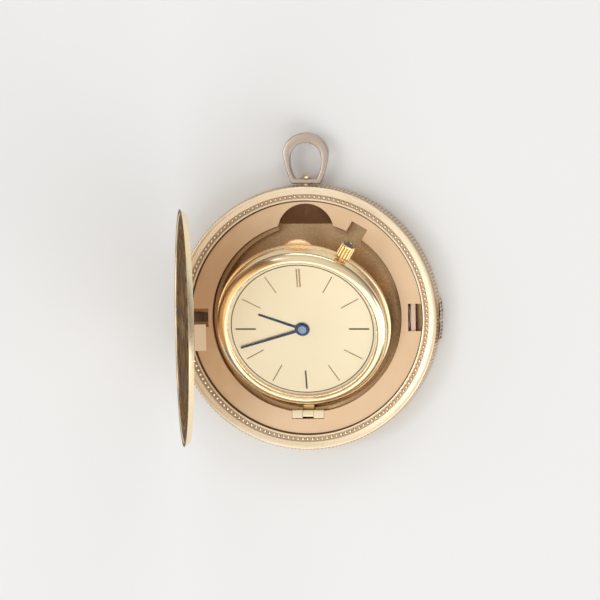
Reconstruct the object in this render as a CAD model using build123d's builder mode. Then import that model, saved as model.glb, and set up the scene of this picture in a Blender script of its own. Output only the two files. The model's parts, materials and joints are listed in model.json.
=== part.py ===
from build123d import *
import os
from math import asin, atan2, cos, degrees, hypot, pi, radians, sin, sqrt

# Coin watch: a gold coin hollowed out as a case, with a hinged lid and a thin watch head inside.
# Millimetres. The coin lies on its back on z = 0, 12 o'clock is +Y and 3 o'clock is +X.
# It is drawn as it stands in use: lid open, watch head raised.
os.makedirs("parts", exist_ok=True)

# Coin case
coin_diameter = 34.0
coin_thickness = 4.0
edge_wall = 1.95
back_wall = 0.4
reed_count = 219
reed_depth = 0.12
plain_edge = 0.35
edge_chamfer = 0.12
rim_width = 1.12
bead_count = 156
bead_diameter = 0.42
bead_band = 0.64
border_depth = 0.22
back_rim_width = 1.5
back_relief = 0.12

# Clearances
seat_gap = 0.02
running_gap = 0.03
swing_gap = 0.08
layer_gap = 0.04
overrun = 1.0

# Inner frame
frame_height = 2.8
floor_width = 2.9
pocket_depth = 1.3
ledge_width = 0.5
pocket_chamfer = 0.08
scoop_margin = 0.43
scoop_side = 1.8
scoop_shallow = 1.1
crown_slot_gap = 0.18
catch_slot_width = 3.5
catch_slot_length = 1.81
catch_slot_margin = 0.14
catch_slot_depth = 2.2
hinge_slot_depth = 1.2
hinge_slot_gap = 0.18
tab_swing_gap = 0.18
leaf_notch_gap = 0.05

# Lid and its hinge at 9 o'clock
lid_open_angle = 77.3
lid_gap = 0.05
lid_plate = 0.58
lid_thickness = 0.72
lid_bevel = 0.48
lid_float = 0.05
lid_border = 0.55
lid_relief_rise = 0.1
lid_pin_inset = 0.87
lid_pin_drop = 1.075
lid_pin_diameter = 0.44
lid_pin_length = 6.0
ear_width = 2.2
ear_thickness = 0.45
ear_reach = 3.2
knuckle_diameter = 1.0
hook_width = 3.24
hook_thickness = 0.3
hook_drop = 1.5
hook_nose = 0.22
hook_nose_height = 0.28
hook_inset = 0.62
lift_spring_thickness = 0.1
lift_spring_width = 1.2
lift_spring_foot = 0.65

# Catch and push button at 3 o'clock
button_length = 5.6
button_height = 2.4
button_proud = 0.3
button_offset = -0.4
button_wall = 1.5
button_travel = 0.3
slider_thickness = 0.4
slider_width = 4.6
slider_margin = 0.25
slider_bar = 0.62
slider_yoke = 0.55
slider_drop = 0.65
catch_spring_thickness = 0.08
catch_spring_height = 0.34
catch_spring_span = 4.0
catch_spring_room = 0.28

# Bail at 12 o'clock
bail_width = 5.9
bail_height = 6.56
bail_foot_width = 3.7
bail_foot = 0.66
bail_side = 0.92
bail_foot_side = 0.48
bail_top = 1.3
bail_shoulder = 4.15
bail_inner_shoulder = 3.16
bail_bulge = 0.2
bail_thickness = 1.2
bail_edge = 0.22
bail_gap = 0.08
post_diameter = 0.8
post_head_diameter = 1.44
post_head_rise = 0.55
post_depth = 1.2

# Watch head, case parts
head_raise = 22.8
head_hinge_offset = 0.2
head_hinge_drop = 0.48
head_offset = 0.3
head_gap = 0.45
head_thickness = 2.7
head_float = 0.05
back_rim_step = 0.25
back_rim_height = 0.6
case_back = 0.18
case_edge = 0.1
case_wall = 0.5
case_step = 0.15
bezel_skirt = 0.1
bezel_height = 0.9
bezel_face = 1.1
bezel_lip = 0.19
crystal_thickness = 0.3
head_knuckle_diameter = 0.9
head_pin_diameter = 0.4
head_knuckle_width = 1.36
head_leaf_width = 4.1
head_leaf_back = 0.15
head_arm_level = 0.9
head_arm_thickness = 0.7
tab_width = 3.7
tab_reach = 0.75
tab_thickness = 0.4

# Dial and hands
dial_gap = 0.1
dial_thickness = 0.12
dial_hole_diameter = 1.2
marker_margin = 0.9
marker_length = 2.6
marker_width = 0.13
marker_bold_width = 0.2
marker_twin_gap = 0.34
marker_height = 0.05
hand_reach_gap = 0.1
hand_width = 0.32
hand_thickness = 0.06
hand_gap = 0.06
hour_hub_diameter = 1.9
minute_hub_diameter = 1.5
hand_cap_diameter = 1.1
hand_cap_height = 0.05
hour_hand_angle = 291.0
minute_hand_angle = 252.0

# Movement, levels above the underside of the head
plate_gap = 0.05
mainplate_thickness = 0.26
bridge_thickness = 0.22
train_height = 0.6
motion_height = 0.22
wheel_thickness = 0.1
ratchet_thickness = 0.14
bridge_gap = 0.1
bridge_leg_width = 0.9
plate_rim_width = 0.75
arbor_diameter = 0.24
pivot_diameter = 0.14
upper_wheel_rise = 0.02
middle_wheel_rise = 0.2
lower_wheel_rise = 0.44
pinion_overlap = 0.04
jewel_diameter = 0.7
screw_head_diameter = 0.8
screw_diameter = 0.36
screw_slot_width = 0.12
screw_slot_depth = 0.07

# Wheels: counts of teeth, and modules. The train's module follows the plate, so the whole plan follows it.
plate_modules = 208
third_module_share = 0.8
fourth_module_share = 0.7
center_teeth = 64
center_leaves = 10
barrel_teeth = 80
third_leaves = 8
third_teeth = 60
fourth_leaves = 8
fourth_teeth = 60
escape_leaves = 6
escape_teeth = 15
cannon_leaves = 12
minute_wheel_teeth = 36
minute_wheel_leaves = 10
hour_wheel_teeth = 40
motion_wheel_thickness = 0.08
cannon_diameter = 0.72
cannon_bore_diameter = 0.28
hour_tube_diameter = 1.04
hour_tube_bore_diameter = 0.8
minute_stud_diameter = 0.3
crown_wheel_teeth = 28
ratchet_teeth = 44
winding_pinion_teeth = 12
mesh_gap = 0.02
barrel_height = 0.4
barrel_wall = 0.12
barrel_floor = 0.07
barrel_core_diameter = 0.9
barrel_arbor_diameter = 0.6
mainspring_thickness = 0.12
mainspring_turns = 8
balance_rim = 0.3
balance_height = 0.16
balance_arm = 0.25
impulse_pin_diameter = 0.1
hairspring_thickness = 0.05
hairspring_turns = 6
pallet_width = 0.22

# Plan sizes of the movement in modules of the train, so that they follow the plate too
escape_modules = 26
pallet_arm_modules = 8
pallet_stone_modules = 6
pallet_reach_modules = 19
fork_reach_modules = 26
balance_modules = 46
roller_modules = 8
hairspring_modules = 15
bridge_split_modules = -9.5
cock_split_modules = 17.7
click_modules = 7.5
stem_inner_modules = 76
stem_window_modules = 32
winding_pinion_modules = 12
winding_pinion_length_modules = 6
lever_place_modules = 86
lever_length_modules = 22
lever_width_modules = 6

# Crown and keyless work
crown_angle = 60.0
crown_diameter = 1.9
crown_length = 1.95
crown_standoff = 0.45
crown_flutes = 24
crown_flute_depth = 0.08
crown_cap = 0.12
crown_bore_depth = 0.5
case_tube_diameter = 0.8
case_tube_depth = 0.45
stem_level = 1.0
stem_diameter = 0.4
stem_groove_diameter = 0.24
stem_groove_width = 0.3
crown_pull = 0.4
lever_thickness = 0.12

# Directions of the wheels from one another, in degrees from 3 o'clock, and counts of small repeated forms
barrel_way = 90
third_way = 210
fourth_way = 280
escape_way = 330
pallet_way = 350
balance_way = 25
minute_wheel_way = 340
click_pivot_way = 205
click_nose_way = 175
screw_ways = (15, 100, 165, 200, 255, 300, 335)
petal_count = 8
leaf_count = 24
leaf_lean = 62
pellet_count = 48
wheel_hole_count = 5
coil_steps = 20

# Shares of the radius or pitch that small repeated forms follow
wheel_hole_shares = (0.6, 0.27)
escape_shares = (0.95, 0.8)
escape_hole_share = 0.18
tooth_root_share = 0.31
tooth_tip_share = 0.15
addendum_share = 0.85
dedendum_share = 1.1
reed_flat_share = 0.3
disc_share = 0.13
petal_shares = (0.323, 0.143, 0.081)
leaf_shares = (0.72, 0.054, 0.085, 0.034)
pellet_shares = (0.88, 0.02)

# Radii from the coin's edge inwards: every ring is as wide as its name says, so all of them follow the coin
coin_radius = coin_diameter / 2
bore_radius = coin_radius - edge_wall
lid_radius = bore_radius - lid_gap
pocket_radius = bore_radius - floor_width
ledge_radius = pocket_radius - ledge_width
head_radius = ledge_radius - head_gap
band_radius = head_radius - back_rim_step
bezel_radius = band_radius + running_gap
cavity_radius = band_radius - case_wall
case_step_radius = cavity_radius - case_step
plate_radius = cavity_radius - plate_gap
bridge_radius = case_step_radius - bridge_gap
bridge_diameter = 2 * bridge_radius
dial_radius = plate_radius - dial_gap
crest_radius = bezel_radius - bezel_face
crystal_radius = crest_radius - bezel_lip
opening_radius = crystal_radius - bezel_lip
marker_outer_radius = opening_radius - marker_margin
marker_inner_radius = marker_outer_radius - marker_length
train_module = 2 * plate_radius / plate_modules
third_module = third_module_share * train_module
fourth_module = fourth_module_share * train_module

# Places and levels in the coin case
border_outer = coin_radius - rim_width
bead_ring_radius = border_outer - bead_band / 2
frame_radius = bore_radius - seat_gap
frame_top = back_wall + frame_height
lid_level = frame_top + lid_float
lid_pin_x = lid_pin_inset - coin_radius
lid_pin_z = coin_thickness - lid_pin_drop
middle = coin_thickness / 2


def reed_points(radius, depth, count, first, last):
    """Corners of reeds first to last - 1 of a count: a flat crest at the radius, then a lower valley."""
    pitch = 2 * pi / count
    points = []
    for reed in range(first, last):
        crest = reed * pitch
        shoulder = crest + pitch * reed_flat_share
        valley = crest + pitch * (1 + reed_flat_share) / 2
        points.append((radius * cos(crest), radius * sin(crest)))
        points.append((radius * cos(shoulder), radius * sin(shoulder)))
        points.append(((radius - depth) * cos(valley), (radius - depth) * sin(valley)))
    return points


def rosette(radius):
    """Petals round a centre disc, and a wreath of leaves and a ring of pellets, as shares of the radius."""
    petal_place_share, petal_length_share, petal_width_share = petal_shares
    leaf_place_share, leaf_spread_share, leaf_length_share, leaf_width_share = leaf_shares
    pellet_place_share, pellet_size_share = pellet_shares
    Circle(radius * disc_share)
    with PolarLocations(radius * petal_place_share, petal_count):
        Ellipse(radius * petal_length_share, radius * petal_width_share)
    with PolarLocations(radius * (leaf_place_share + leaf_spread_share), leaf_count):
        Ellipse(radius * leaf_length_share, radius * leaf_width_share, rotation=leaf_lean)
    with PolarLocations(radius * (leaf_place_share - leaf_spread_share), leaf_count):
        Ellipse(radius * leaf_length_share, radius * leaf_width_share, rotation=-leaf_lean)
    with PolarLocations(radius * pellet_place_share, pellet_count):
        Circle(radius * pellet_size_share)


def centred(reach):
    """A cut or block that runs the same distance to both sides of its sketch plane."""
    return {"amount": reach, "both": True}


# Coin case: the coin's back and edge, turned out to a thin wall, with reeds, beads and a struck back
ear_half = ear_width / 2
knuckle_radius = knuckle_diameter / 2
button_radius = coin_radius + button_proud
button_inner = coin_radius - button_wall
button_floor = middle - button_height / 2
slider_top = frame_top - slider_drop
valley_radius = coin_radius - reed_depth
border_level = coin_thickness - border_depth
notch_x = lid_pin_x - knuckle_radius - swing_gap
with BuildPart() as coin_case:
    with BuildSketch(Plane.XZ):
        with BuildLine():
            Polyline(
                (0, 0),
                (valley_radius - edge_chamfer, 0),
                (valley_radius, edge_chamfer),
                (valley_radius, coin_thickness - edge_chamfer),
                (valley_radius - edge_chamfer, coin_thickness),
                (border_outer, coin_thickness),
                (border_outer, border_level),
                (bore_radius, border_level),
                (bore_radius, back_wall),
                (0, back_wall),
                close=True,
            )
        make_face()
    revolve(axis=Axis.Z)
    with Locations((0, 0, border_level)):
        with PolarLocations(bead_ring_radius, bead_count):
            Sphere(bead_diameter / 2)
    with BuildSketch(Plane.XY.offset(lid_level - ear_thickness - swing_gap)):
        with Locations((notch_x, 0)):
            Rectangle(coin_radius - bore_radius, ear_width + 2 * running_gap, align=(Align.MIN, Align.CENTER))
    extrude(amount=coin_thickness, mode=Mode.SUBTRACT)
    with BuildSketch(Plane.XZ.offset(-ear_half - running_gap)):
        with Locations((lid_pin_x, lid_pin_z)):
            Circle(knuckle_radius + swing_gap)
    extrude(amount=ear_width + 2 * running_gap, mode=Mode.SUBTRACT)
    with BuildSketch(Plane.XZ.offset(-lid_pin_length / 2 - seat_gap)):
        with Locations((lid_pin_x, lid_pin_z)):
            Circle(lid_pin_diameter / 2 + seat_gap)
    extrude(amount=lid_pin_length + 2 * seat_gap, mode=Mode.SUBTRACT)
    with BuildSketch():
        Circle(coin_radius - back_rim_width)
    extrude(amount=back_relief, mode=Mode.SUBTRACT)
    with BuildSketch():
        rosette(coin_radius - back_rim_width)
    extrude(amount=back_relief)
    with BuildSketch(Plane.XY.offset(plain_edge)):
        with BuildLine():
            Polyline(*reed_points(coin_radius, reed_depth, reed_count, 0, reed_count), close=True)
        make_face()
        Circle(valley_radius - edge_chamfer, mode=Mode.SUBTRACT)
    extrude(amount=coin_thickness - 2 * plain_edge)
    with BuildSketch(Plane.XY.offset(button_floor - running_gap)):
        with Locations((bore_radius - overrun, button_offset)):
            Rectangle(coin_radius, button_length + 2 * running_gap, align=(Align.MIN, Align.CENTER))
    extrude(amount=button_height + 2 * running_gap, mode=Mode.SUBTRACT)
    with BuildSketch(Plane.XZ.offset(-coin_radius - overrun)):
        with Locations((0, middle)):
            Circle(post_diameter / 2 + seat_gap)
    extrude(amount=post_depth + overrun, mode=Mode.SUBTRACT)
coin_case.part.label = "coin_case"
export_step(coin_case.part, "parts/coin_case.step")

# Inner frame: satin ring seated in the coin, with the watch head's pocket and a slot for each moving part
ledge_level = frame_top - pocket_depth
head_floor = back_wall + head_float
slot_floor = frame_top - catch_slot_depth
slider_floor = slider_top - slider_thickness
catch_slot_inner = frame_radius - catch_slot_margin - catch_slot_length
slider_inner = catch_slot_inner + slider_margin
channel_inner = slider_inner - button_travel - catch_spring_room
scoop_radius = tab_width / 2 + scoop_side
scoop_reach = frame_radius - scoop_margin
tab_end = head_radius + tab_reach + tab_swing_gap - head_offset
hinge_slot_end = lid_pin_x + ear_reach + hinge_slot_gap
hinge_slot_floor = frame_top - hinge_slot_depth
leaf_half = head_leaf_width / 2
head_knuckle_radius = head_knuckle_diameter / 2
head_hinge_y = -pocket_radius - head_hinge_offset
head_hinge_z = frame_top - head_hinge_drop
leaf_end = head_hinge_y - head_knuckle_radius - head_leaf_back
leaf_notch_reach = leaf_notch_gap - leaf_end
crown_turn = radians(crown_angle)
crown_way = Plane(origin=(0, -head_offset, 0), x_dir=(cos(crown_turn), sin(crown_turn), 0), z_dir=(0, 0, 1))
crown_slot_start = pocket_radius - overrun
crown_inner_radius = band_radius + crown_standoff
crown_slot_reach = crown_inner_radius + crown_length + crown_pull + crown_slot_gap
crown_slot_width = crown_diameter + 2 * crown_slot_gap
with BuildPart() as thumb_scoop:
    with BuildSketch(Plane.XY.offset(back_wall)):
        with Locations((0, scoop_reach - scoop_radius)):
            Circle(scoop_radius)
    extrude(amount=coin_thickness)
    with BuildSketch(Plane.YZ):
        with BuildLine():
            Polyline(
                (tab_end, back_wall),
                (scoop_reach, frame_top - scoop_shallow),
                (scoop_reach, back_wall),
                close=True,
            )
        make_face()
    extrude(**centred(scoop_radius), mode=Mode.SUBTRACT)
with BuildPart() as inner_frame:
    with BuildSketch(Plane.XZ):
        with BuildLine():
            Polyline(
                (ledge_radius, back_wall),
                (frame_radius, back_wall),
                (frame_radius, frame_top),
                (pocket_radius + pocket_chamfer, frame_top),
                (pocket_radius, frame_top - pocket_chamfer),
                (pocket_radius, ledge_level),
                (ledge_radius, ledge_level),
                close=True,
            )
        make_face()
    revolve(axis=Axis.Z)
    add(thumb_scoop.part, mode=Mode.SUBTRACT)
    with BuildSketch(crown_way):
        with Locations((crown_slot_start, 0)):
            Rectangle(crown_slot_reach - crown_slot_start, crown_slot_width, align=(Align.MIN, Align.CENTER))
    extrude(amount=coin_thickness, mode=Mode.SUBTRACT)
    with BuildSketch(Plane.XY.offset(slot_floor)):
        with Locations((catch_slot_inner, 0)):
            Rectangle(catch_slot_length, catch_slot_width, align=(Align.MIN, Align.CENTER))
    extrude(amount=coin_thickness, mode=Mode.SUBTRACT)
    with BuildSketch(Plane.XY.offset(slider_floor - running_gap)):
        with Locations((channel_inner, 0)):
            Rectangle(
                coin_radius - channel_inner,
                slider_width + 2 * running_gap,
                align=(Align.MIN, Align.CENTER),
            )
    extrude(amount=slider_thickness + 2 * running_gap, mode=Mode.SUBTRACT)
    with BuildSketch(Plane.XY.offset(hinge_slot_floor)):
        with Locations((hinge_slot_end, 0)):
            Rectangle(coin_radius, ear_width + 2 * swing_gap, align=(Align.MAX, Align.CENTER))
    extrude(amount=coin_thickness, mode=Mode.SUBTRACT)
    with BuildSketch(Plane.XY.offset(ledge_level)):
        with Locations((0, -leaf_notch_reach)):
            Rectangle(head_leaf_width + 2 * seat_gap, coin_radius, align=(Align.CENTER, Align.MIN))
        with Locations((0, coin_radius - leaf_notch_reach)):
            Rectangle(coin_radius, coin_radius, align=(Align.CENTER, Align.MIN), mode=Mode.SUBTRACT)
        Circle(ledge_radius, mode=Mode.SUBTRACT)
        with Locations((0, coin_radius / 2)):
            Rectangle(coin_radius, coin_radius, mode=Mode.SUBTRACT)
    extrude(amount=coin_thickness, mode=Mode.SUBTRACT)
    with BuildSketch(Plane.XY.offset(head_floor + head_arm_level - swing_gap)):
        with Locations((0, -leaf_notch_reach)):
            Rectangle(
                head_knuckle_width + 2 * swing_gap,
                leaf_notch_reach - ledge_radius + overrun,
                align=(Align.CENTER, Align.MIN),
            )
    extrude(amount=coin_thickness, mode=Mode.SUBTRACT)
inner_frame.part.label = "inner_frame"
export_step(inner_frame.part, "parts/inner_frame.step")

# Lid, standing open: it is drawn in the plane of its inner face, with its outer face along the normal
open_cos = cos(radians(lid_open_angle))
open_sin = sin(radians(lid_open_angle))
pin_to_face = lid_level - lid_pin_z
lid_place = (
    lid_pin_x - lid_pin_x * open_cos - pin_to_face * open_sin,
    0,
    lid_pin_z - lid_pin_x * open_sin + pin_to_face * open_cos,
)
lid_face = Plane(origin=lid_place, x_dir=(open_cos, 0, open_sin), z_dir=(-open_sin, 0, open_cos))
lid_section = Plane(origin=lid_place, x_dir=(open_cos, 0, open_sin), z_dir=(0, -1, 0))
with BuildPart() as lid:
    with BuildSketch(lid_section):
        with BuildLine():
            Polyline(
                (0, 0),
                (lid_radius - lid_bevel, 0),
                (lid_radius, lid_thickness),
                (lid_radius - lid_border, lid_thickness),
                (lid_radius - lid_border, lid_plate),
                (0, lid_plate),
                close=True,
            )
        make_face()
    revolve(axis=Axis(lid_place, lid_face.z_dir))
    with BuildSketch(lid_face.offset(lid_plate)):
        rosette(lid_radius - lid_border)
    extrude(amount=lid_relief_rise)
lid.part.label = "lid"
export_step(lid.part, "parts/lid.step")

# Hinge ear: a foot soldered to the lid's inner face, and the knuckle that turns on the pin in the rim
with BuildPart() as lid_hinge_ear:
    with BuildSketch(lid_section):
        with Locations((lid_pin_x, lid_pin_z - lid_level)):
            Circle(knuckle_radius)
        with Locations((lid_pin_x, 0)):
            Rectangle(ear_reach, ear_thickness, align=(Align.MIN, Align.MAX))
        with Locations((lid_pin_x, lid_pin_z - lid_level)):
            Circle(lid_pin_diameter / 2 + running_gap, mode=Mode.SUBTRACT)
    extrude(**centred(ear_half))
lid_hinge_ear.part.label = "lid_hinge_ear"
export_step(lid_hinge_ear.part, "parts/lid_hinge_ear.step")

# Catch hook: a plate on the lid's inner face, with a nose that goes under the catch's bar
hook_outer = lid_radius - hook_inset
hook_inner = hook_outer - hook_thickness
with BuildPart() as lid_catch_hook:
    with BuildSketch(lid_section):
        with BuildLine():
            Polyline(
                (hook_outer, 0),
                (hook_outer, -hook_drop),
                (hook_inner - hook_nose, -hook_drop),
                (hook_inner - hook_nose, -hook_drop + hook_nose_height / 2),
                (hook_inner, -hook_drop + hook_nose_height),
                (hook_inner, 0),
                close=True,
            )
        make_face()
    extrude(**centred(hook_width / 2))
lid_catch_hook.part.label = "lid_catch_hook"
export_step(lid_catch_hook.part, "parts/lid_catch_hook.step")

# Hinge pin of the lid, across the notch in the rim
with BuildPart() as lid_hinge_pin:
    with BuildSketch(Plane.XZ):
        with Locations((lid_pin_x, lid_pin_z)):
            Circle(lid_pin_diameter / 2)
    extrude(**centred(lid_pin_length / 2))
lid_hinge_pin.part.label = "lid_hinge_pin"
export_step(lid_hinge_pin.part, "parts/lid_hinge_pin.step")

# Lift spring: a leaf on the floor of the hinge slot, whose tip lies just under the ear of the closed lid
spring_tip_level = lid_level - ear_thickness - swing_gap
spring_start = hinge_slot_end - hinge_slot_gap / 2
spring_bend = spring_start - lift_spring_foot
spring_tip = -frame_radius + hinge_slot_gap
with BuildPart() as lid_lift_spring:
    with BuildSketch(Plane.XZ):
        with BuildLine():
            Polyline(
                (spring_start, hinge_slot_floor),
                (spring_bend, hinge_slot_floor),
                (spring_tip, spring_tip_level - lift_spring_thickness),
                (spring_tip, spring_tip_level),
                (spring_bend, hinge_slot_floor + lift_spring_thickness),
                (spring_start, hinge_slot_floor + lift_spring_thickness),
                close=True,
            )
        make_face()
    extrude(**centred(lift_spring_width / 2))
lid_lift_spring.part.label = "lid_lift_spring"
export_step(lid_lift_spring.part, "parts/lid_lift_spring.step")

# Push button: a reeded piece of the coin's edge that stands a little proud
button_reeds = int((button_length / 2 + abs(button_offset)) * reed_count / (2 * pi * button_radius)) + 3
button_corners = reed_points(button_radius, reed_depth, reed_count, -button_reeds, button_reeds)
with BuildPart() as push_button:
    with BuildSketch(Plane.XY.offset(button_floor)):
        with BuildLine():
            Polyline(
                *button_corners,
                (bore_radius, button_corners[-1][1]),
                (bore_radius, button_corners[0][1]),
                close=True,
            )
        make_face()
        with Locations((button_inner, button_offset)):
            Rectangle(coin_radius, button_length, align=(Align.MIN, Align.CENTER), mode=Mode.INTERSECT)
    extrude(amount=button_height)
push_button.part.label = "push_button"
export_step(push_button.part, "parts/push_button.step")

# Catch slider: a frame joined to the button, whose inner bar holds the lid's hook
with BuildPart() as catch_slider:
    with BuildSketch(Plane.XY.offset(slider_floor)):
        with Locations((slider_inner, 0)):
            Rectangle(button_inner - slider_inner, slider_width, align=(Align.MIN, Align.CENTER))
        with Locations((slider_inner + slider_bar, 0)):
            Rectangle(
                button_inner - slider_yoke - slider_inner - slider_bar,
                catch_slot_width,
                align=(Align.MIN, Align.CENTER),
                mode=Mode.SUBTRACT,
            )
    extrude(amount=slider_thickness)
catch_slider.part.label = "catch_slider"
export_step(catch_slider.part, "parts/catch_slider.step")

# Catch spring: a bowed leaf between the wall of the channel and the slider's inner bar
spring_foot = channel_inner + seat_gap
spring_crown = slider_inner - seat_gap
spring_half = catch_spring_span / 2
with BuildPart() as catch_spring:
    with BuildSketch(Plane.XY.offset(slider_top - slider_thickness / 2 - catch_spring_height / 2)):
        with BuildLine():
            ThreePointArc(
                (spring_foot + catch_spring_thickness, -spring_half),
                (spring_crown, 0),
                (spring_foot + catch_spring_thickness, spring_half),
            )
            Line((spring_foot + catch_spring_thickness, spring_half), (spring_foot, spring_half))
            ThreePointArc(
                (spring_foot, spring_half),
                (spring_crown - catch_spring_thickness, 0),
                (spring_foot, -spring_half),
            )
            Line((spring_foot, -spring_half), (spring_foot + catch_spring_thickness, -spring_half))
        make_face()
    extrude(amount=catch_spring_height)
catch_spring.part.label = "catch_spring"
export_step(catch_spring.part, "parts/catch_spring.step")

# Bail: a stirrup loop, wide at its shoulders, with a foot bar drilled for the post
foot_y = coin_radius + bail_gap
inner_foot_y = foot_y + bail_foot
bail_half = bail_width / 2
bail_inner_half = bail_half - bail_side
foot_half = bail_foot_width / 2
inner_foot_half = foot_half - bail_foot_side


def loop_line(base, half, shoulder_half, shoulder_y, top_y):
    """Closed outline of a stirrup: flat foot, bulged sides out to the shoulders, and one arc over the top."""
    side_y = (base + shoulder_y) / 2
    side_x = (half + shoulder_half) / 2 + bail_bulge
    Line((-half, base), (half, base))
    ThreePointArc((half, base), (side_x, side_y), (shoulder_half, shoulder_y))
    ThreePointArc((shoulder_half, shoulder_y), (0, top_y), (-shoulder_half, shoulder_y))
    ThreePointArc((-shoulder_half, shoulder_y), (-side_x, side_y), (-half, base))


with BuildPart() as bail:
    with BuildSketch(Plane.XY.offset(middle - bail_thickness / 2)):
        with BuildLine():
            loop_line(foot_y, foot_half, bail_half, foot_y + bail_shoulder, foot_y + bail_height)
        make_face()
        with BuildLine():
            loop_line(
                inner_foot_y,
                inner_foot_half,
                bail_inner_half,
                foot_y + bail_inner_shoulder,
                foot_y + bail_height - bail_top,
            )
        make_face(mode=Mode.SUBTRACT)
    extrude(amount=bail_thickness)
    chamfer(bail.edges().group_by(Axis.Z)[0] + bail.edges().group_by(Axis.Z)[-1], bail_edge)
    with BuildSketch(Plane.XZ.offset(-inner_foot_y - overrun)):
        with Locations((0, middle)):
            Circle(post_diameter / 2 + running_gap)
    extrude(amount=bail_foot + 2 * overrun, mode=Mode.SUBTRACT)
bail.part.label = "bail"
export_step(bail.part, "parts/bail.step")

# Bail post: a shank set in the coin's edge, and a domed head inside the bail
post_seat = inner_foot_y + running_gap
post_dome = post_seat + seat_gap
post_radius = post_diameter / 2
post_head_radius = post_head_diameter / 2
dome_radius = (post_head_radius**2 + post_head_rise**2) / (2 * post_head_rise)
dome_turn = asin(post_head_radius / dome_radius) / 2
dome_drop = dome_radius * (1 - cos(dome_turn))
with BuildPart() as bail_post:
    with BuildSketch(Plane.XY.offset(middle)):
        with BuildLine():
            Polyline(
                (0, post_dome + post_head_rise),
                (0, coin_radius - post_depth),
                (post_radius, coin_radius - post_depth),
                (post_radius, post_seat),
                (post_head_radius, post_seat),
                (post_head_radius, post_dome),
            )
            ThreePointArc(
                (post_head_radius, post_dome),
                (dome_radius * sin(dome_turn), post_dome + post_head_rise - dome_drop),
                (0, post_dome + post_head_rise),
            )
        make_face()
    revolve(axis=Axis((0, 0, middle), (0, 1, 0)))
bail_post.part.label = "bail_post"
export_step(bail_post.part, "parts/bail_post.step")

# Watch head, standing raised: everything in it is drawn above the plane of its underside
raise_cos = cos(radians(head_raise))
raise_sin = sin(radians(head_raise))
hinge_rise = head_hinge_z - head_floor
hinge_reach = head_hinge_y + head_offset
head_place = (
    0,
    head_hinge_y - hinge_reach * raise_cos + hinge_rise * raise_sin,
    head_hinge_z - hinge_reach * raise_sin - hinge_rise * raise_cos,
)
head = Plane(origin=head_place, x_dir=(1, 0, 0), z_dir=(0, -raise_sin, raise_cos))
head_section = Plane(origin=head_place, x_dir=(1, 0, 0), z_dir=(0, -raise_cos, -raise_sin))
head_side = Plane(origin=head_place, x_dir=(0, raise_cos, raise_sin), z_dir=(1, 0, 0))
head_axis = Axis(head_place, head.z_dir)


def on_head(place, level, turn=0):
    """Plane in the watch head at a place and a level, its x axis turned from 3 o'clock towards 12."""
    way = head.x_dir * cos(radians(turn)) + head.y_dir * sin(radians(turn))
    return Plane(origin=head.from_local_coords((*place, level)), x_dir=way, z_dir=head.z_dir)


def step_from(place, way, distance):
    """Place at a distance from another, in a direction in degrees."""
    x, y = place
    return (x + distance * cos(radians(way)), y + distance * sin(radians(way)))


middle_place = (0, 0)
bezel_level = head_thickness - bezel_height
ratchet_level = case_back + layer_gap
bridge_level = ratchet_level + ratchet_thickness + layer_gap
bridge_top = bridge_level + bridge_thickness
train_level = bridge_top + layer_gap
mainplate_level = train_level + train_height + layer_gap
mainplate_top = mainplate_level + mainplate_thickness
motion_level = mainplate_top + layer_gap
dial_level = motion_level + motion_height + layer_gap
dial_top = dial_level + dial_thickness
hour_level = dial_top + hand_gap
minute_level = hour_level + hand_thickness + hand_gap
cap_level = minute_level + hand_thickness
crystal_level = head_thickness - crystal_thickness - hand_thickness

# Head case: back and band in one piece, with the thumb tab at 12 and the hinge arm at 6
tab_drop = head_radius - sqrt(head_radius**2 - tab_width**2 / 4)
tab_radius = (tab_width**2 / 4 + (tab_reach + tab_drop) ** 2) / (2 * (tab_reach + tab_drop))
arm_top = head_arm_level + head_arm_thickness
stem_x = cos(radians(crown_angle))
stem_y = sin(radians(crown_angle))
stem_way = head.x_dir * stem_x + head.y_dir * stem_y
stem_axis = Axis(head.from_local_coords((0, 0, stem_level)), stem_way)


def across_stem(reach):
    """Plane square to the stem at a reach from the middle of the head."""
    return Plane(origin=stem_axis.position + stem_way * reach, x_dir=head.z_dir, z_dir=stem_way)


with BuildPart() as head_case:
    with BuildSketch(head_section):
        with BuildLine():
            Polyline(
                (0, 0),
                (head_radius - case_edge, 0),
                (head_radius, case_edge),
                (head_radius, back_rim_height - case_edge),
                (head_radius - case_edge, back_rim_height),
                (band_radius, back_rim_height),
                (band_radius, bezel_level),
                (0, bezel_level),
                close=True,
            )
        make_face()
    revolve(axis=head_axis)
    with BuildSketch(head):
        with Locations((0, head_radius + tab_reach - tab_radius)):
            Circle(tab_radius)
    extrude(amount=tab_thickness)
    with BuildSketch(head_side):
        with BuildLine():
            Polyline(
                (case_edge - band_radius, head_arm_level),
                (case_edge - band_radius, arm_top),
                (hinge_reach + head_knuckle_radius, arm_top),
                (hinge_reach + head_knuckle_radius, hinge_rise),
                (hinge_reach - head_knuckle_radius, hinge_rise),
                (hinge_reach - head_knuckle_radius, arm_top),
                (hinge_reach + head_knuckle_radius / 2, head_arm_level),
                close=True,
            )
        make_face()
        with Locations((hinge_reach, hinge_rise)):
            Circle(head_knuckle_radius)
            Circle(head_pin_diameter / 2 + running_gap, mode=Mode.SUBTRACT)
    extrude(**centred(head_knuckle_width / 2))
    with BuildSketch(head.offset(case_back)):
        Circle(case_step_radius)
    extrude(amount=head_thickness, mode=Mode.SUBTRACT)
    with BuildSketch(head.offset(mainplate_level)):
        Circle(cavity_radius)
    extrude(amount=head_thickness, mode=Mode.SUBTRACT)
    with BuildSketch(across_stem(band_radius - overrun)):
        Circle(case_tube_diameter / 2 + seat_gap)
    extrude(amount=2 * overrun, mode=Mode.SUBTRACT)
head_case.part.label = "head_case"
export_step(head_case.part, "parts/head_case.step")

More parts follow.
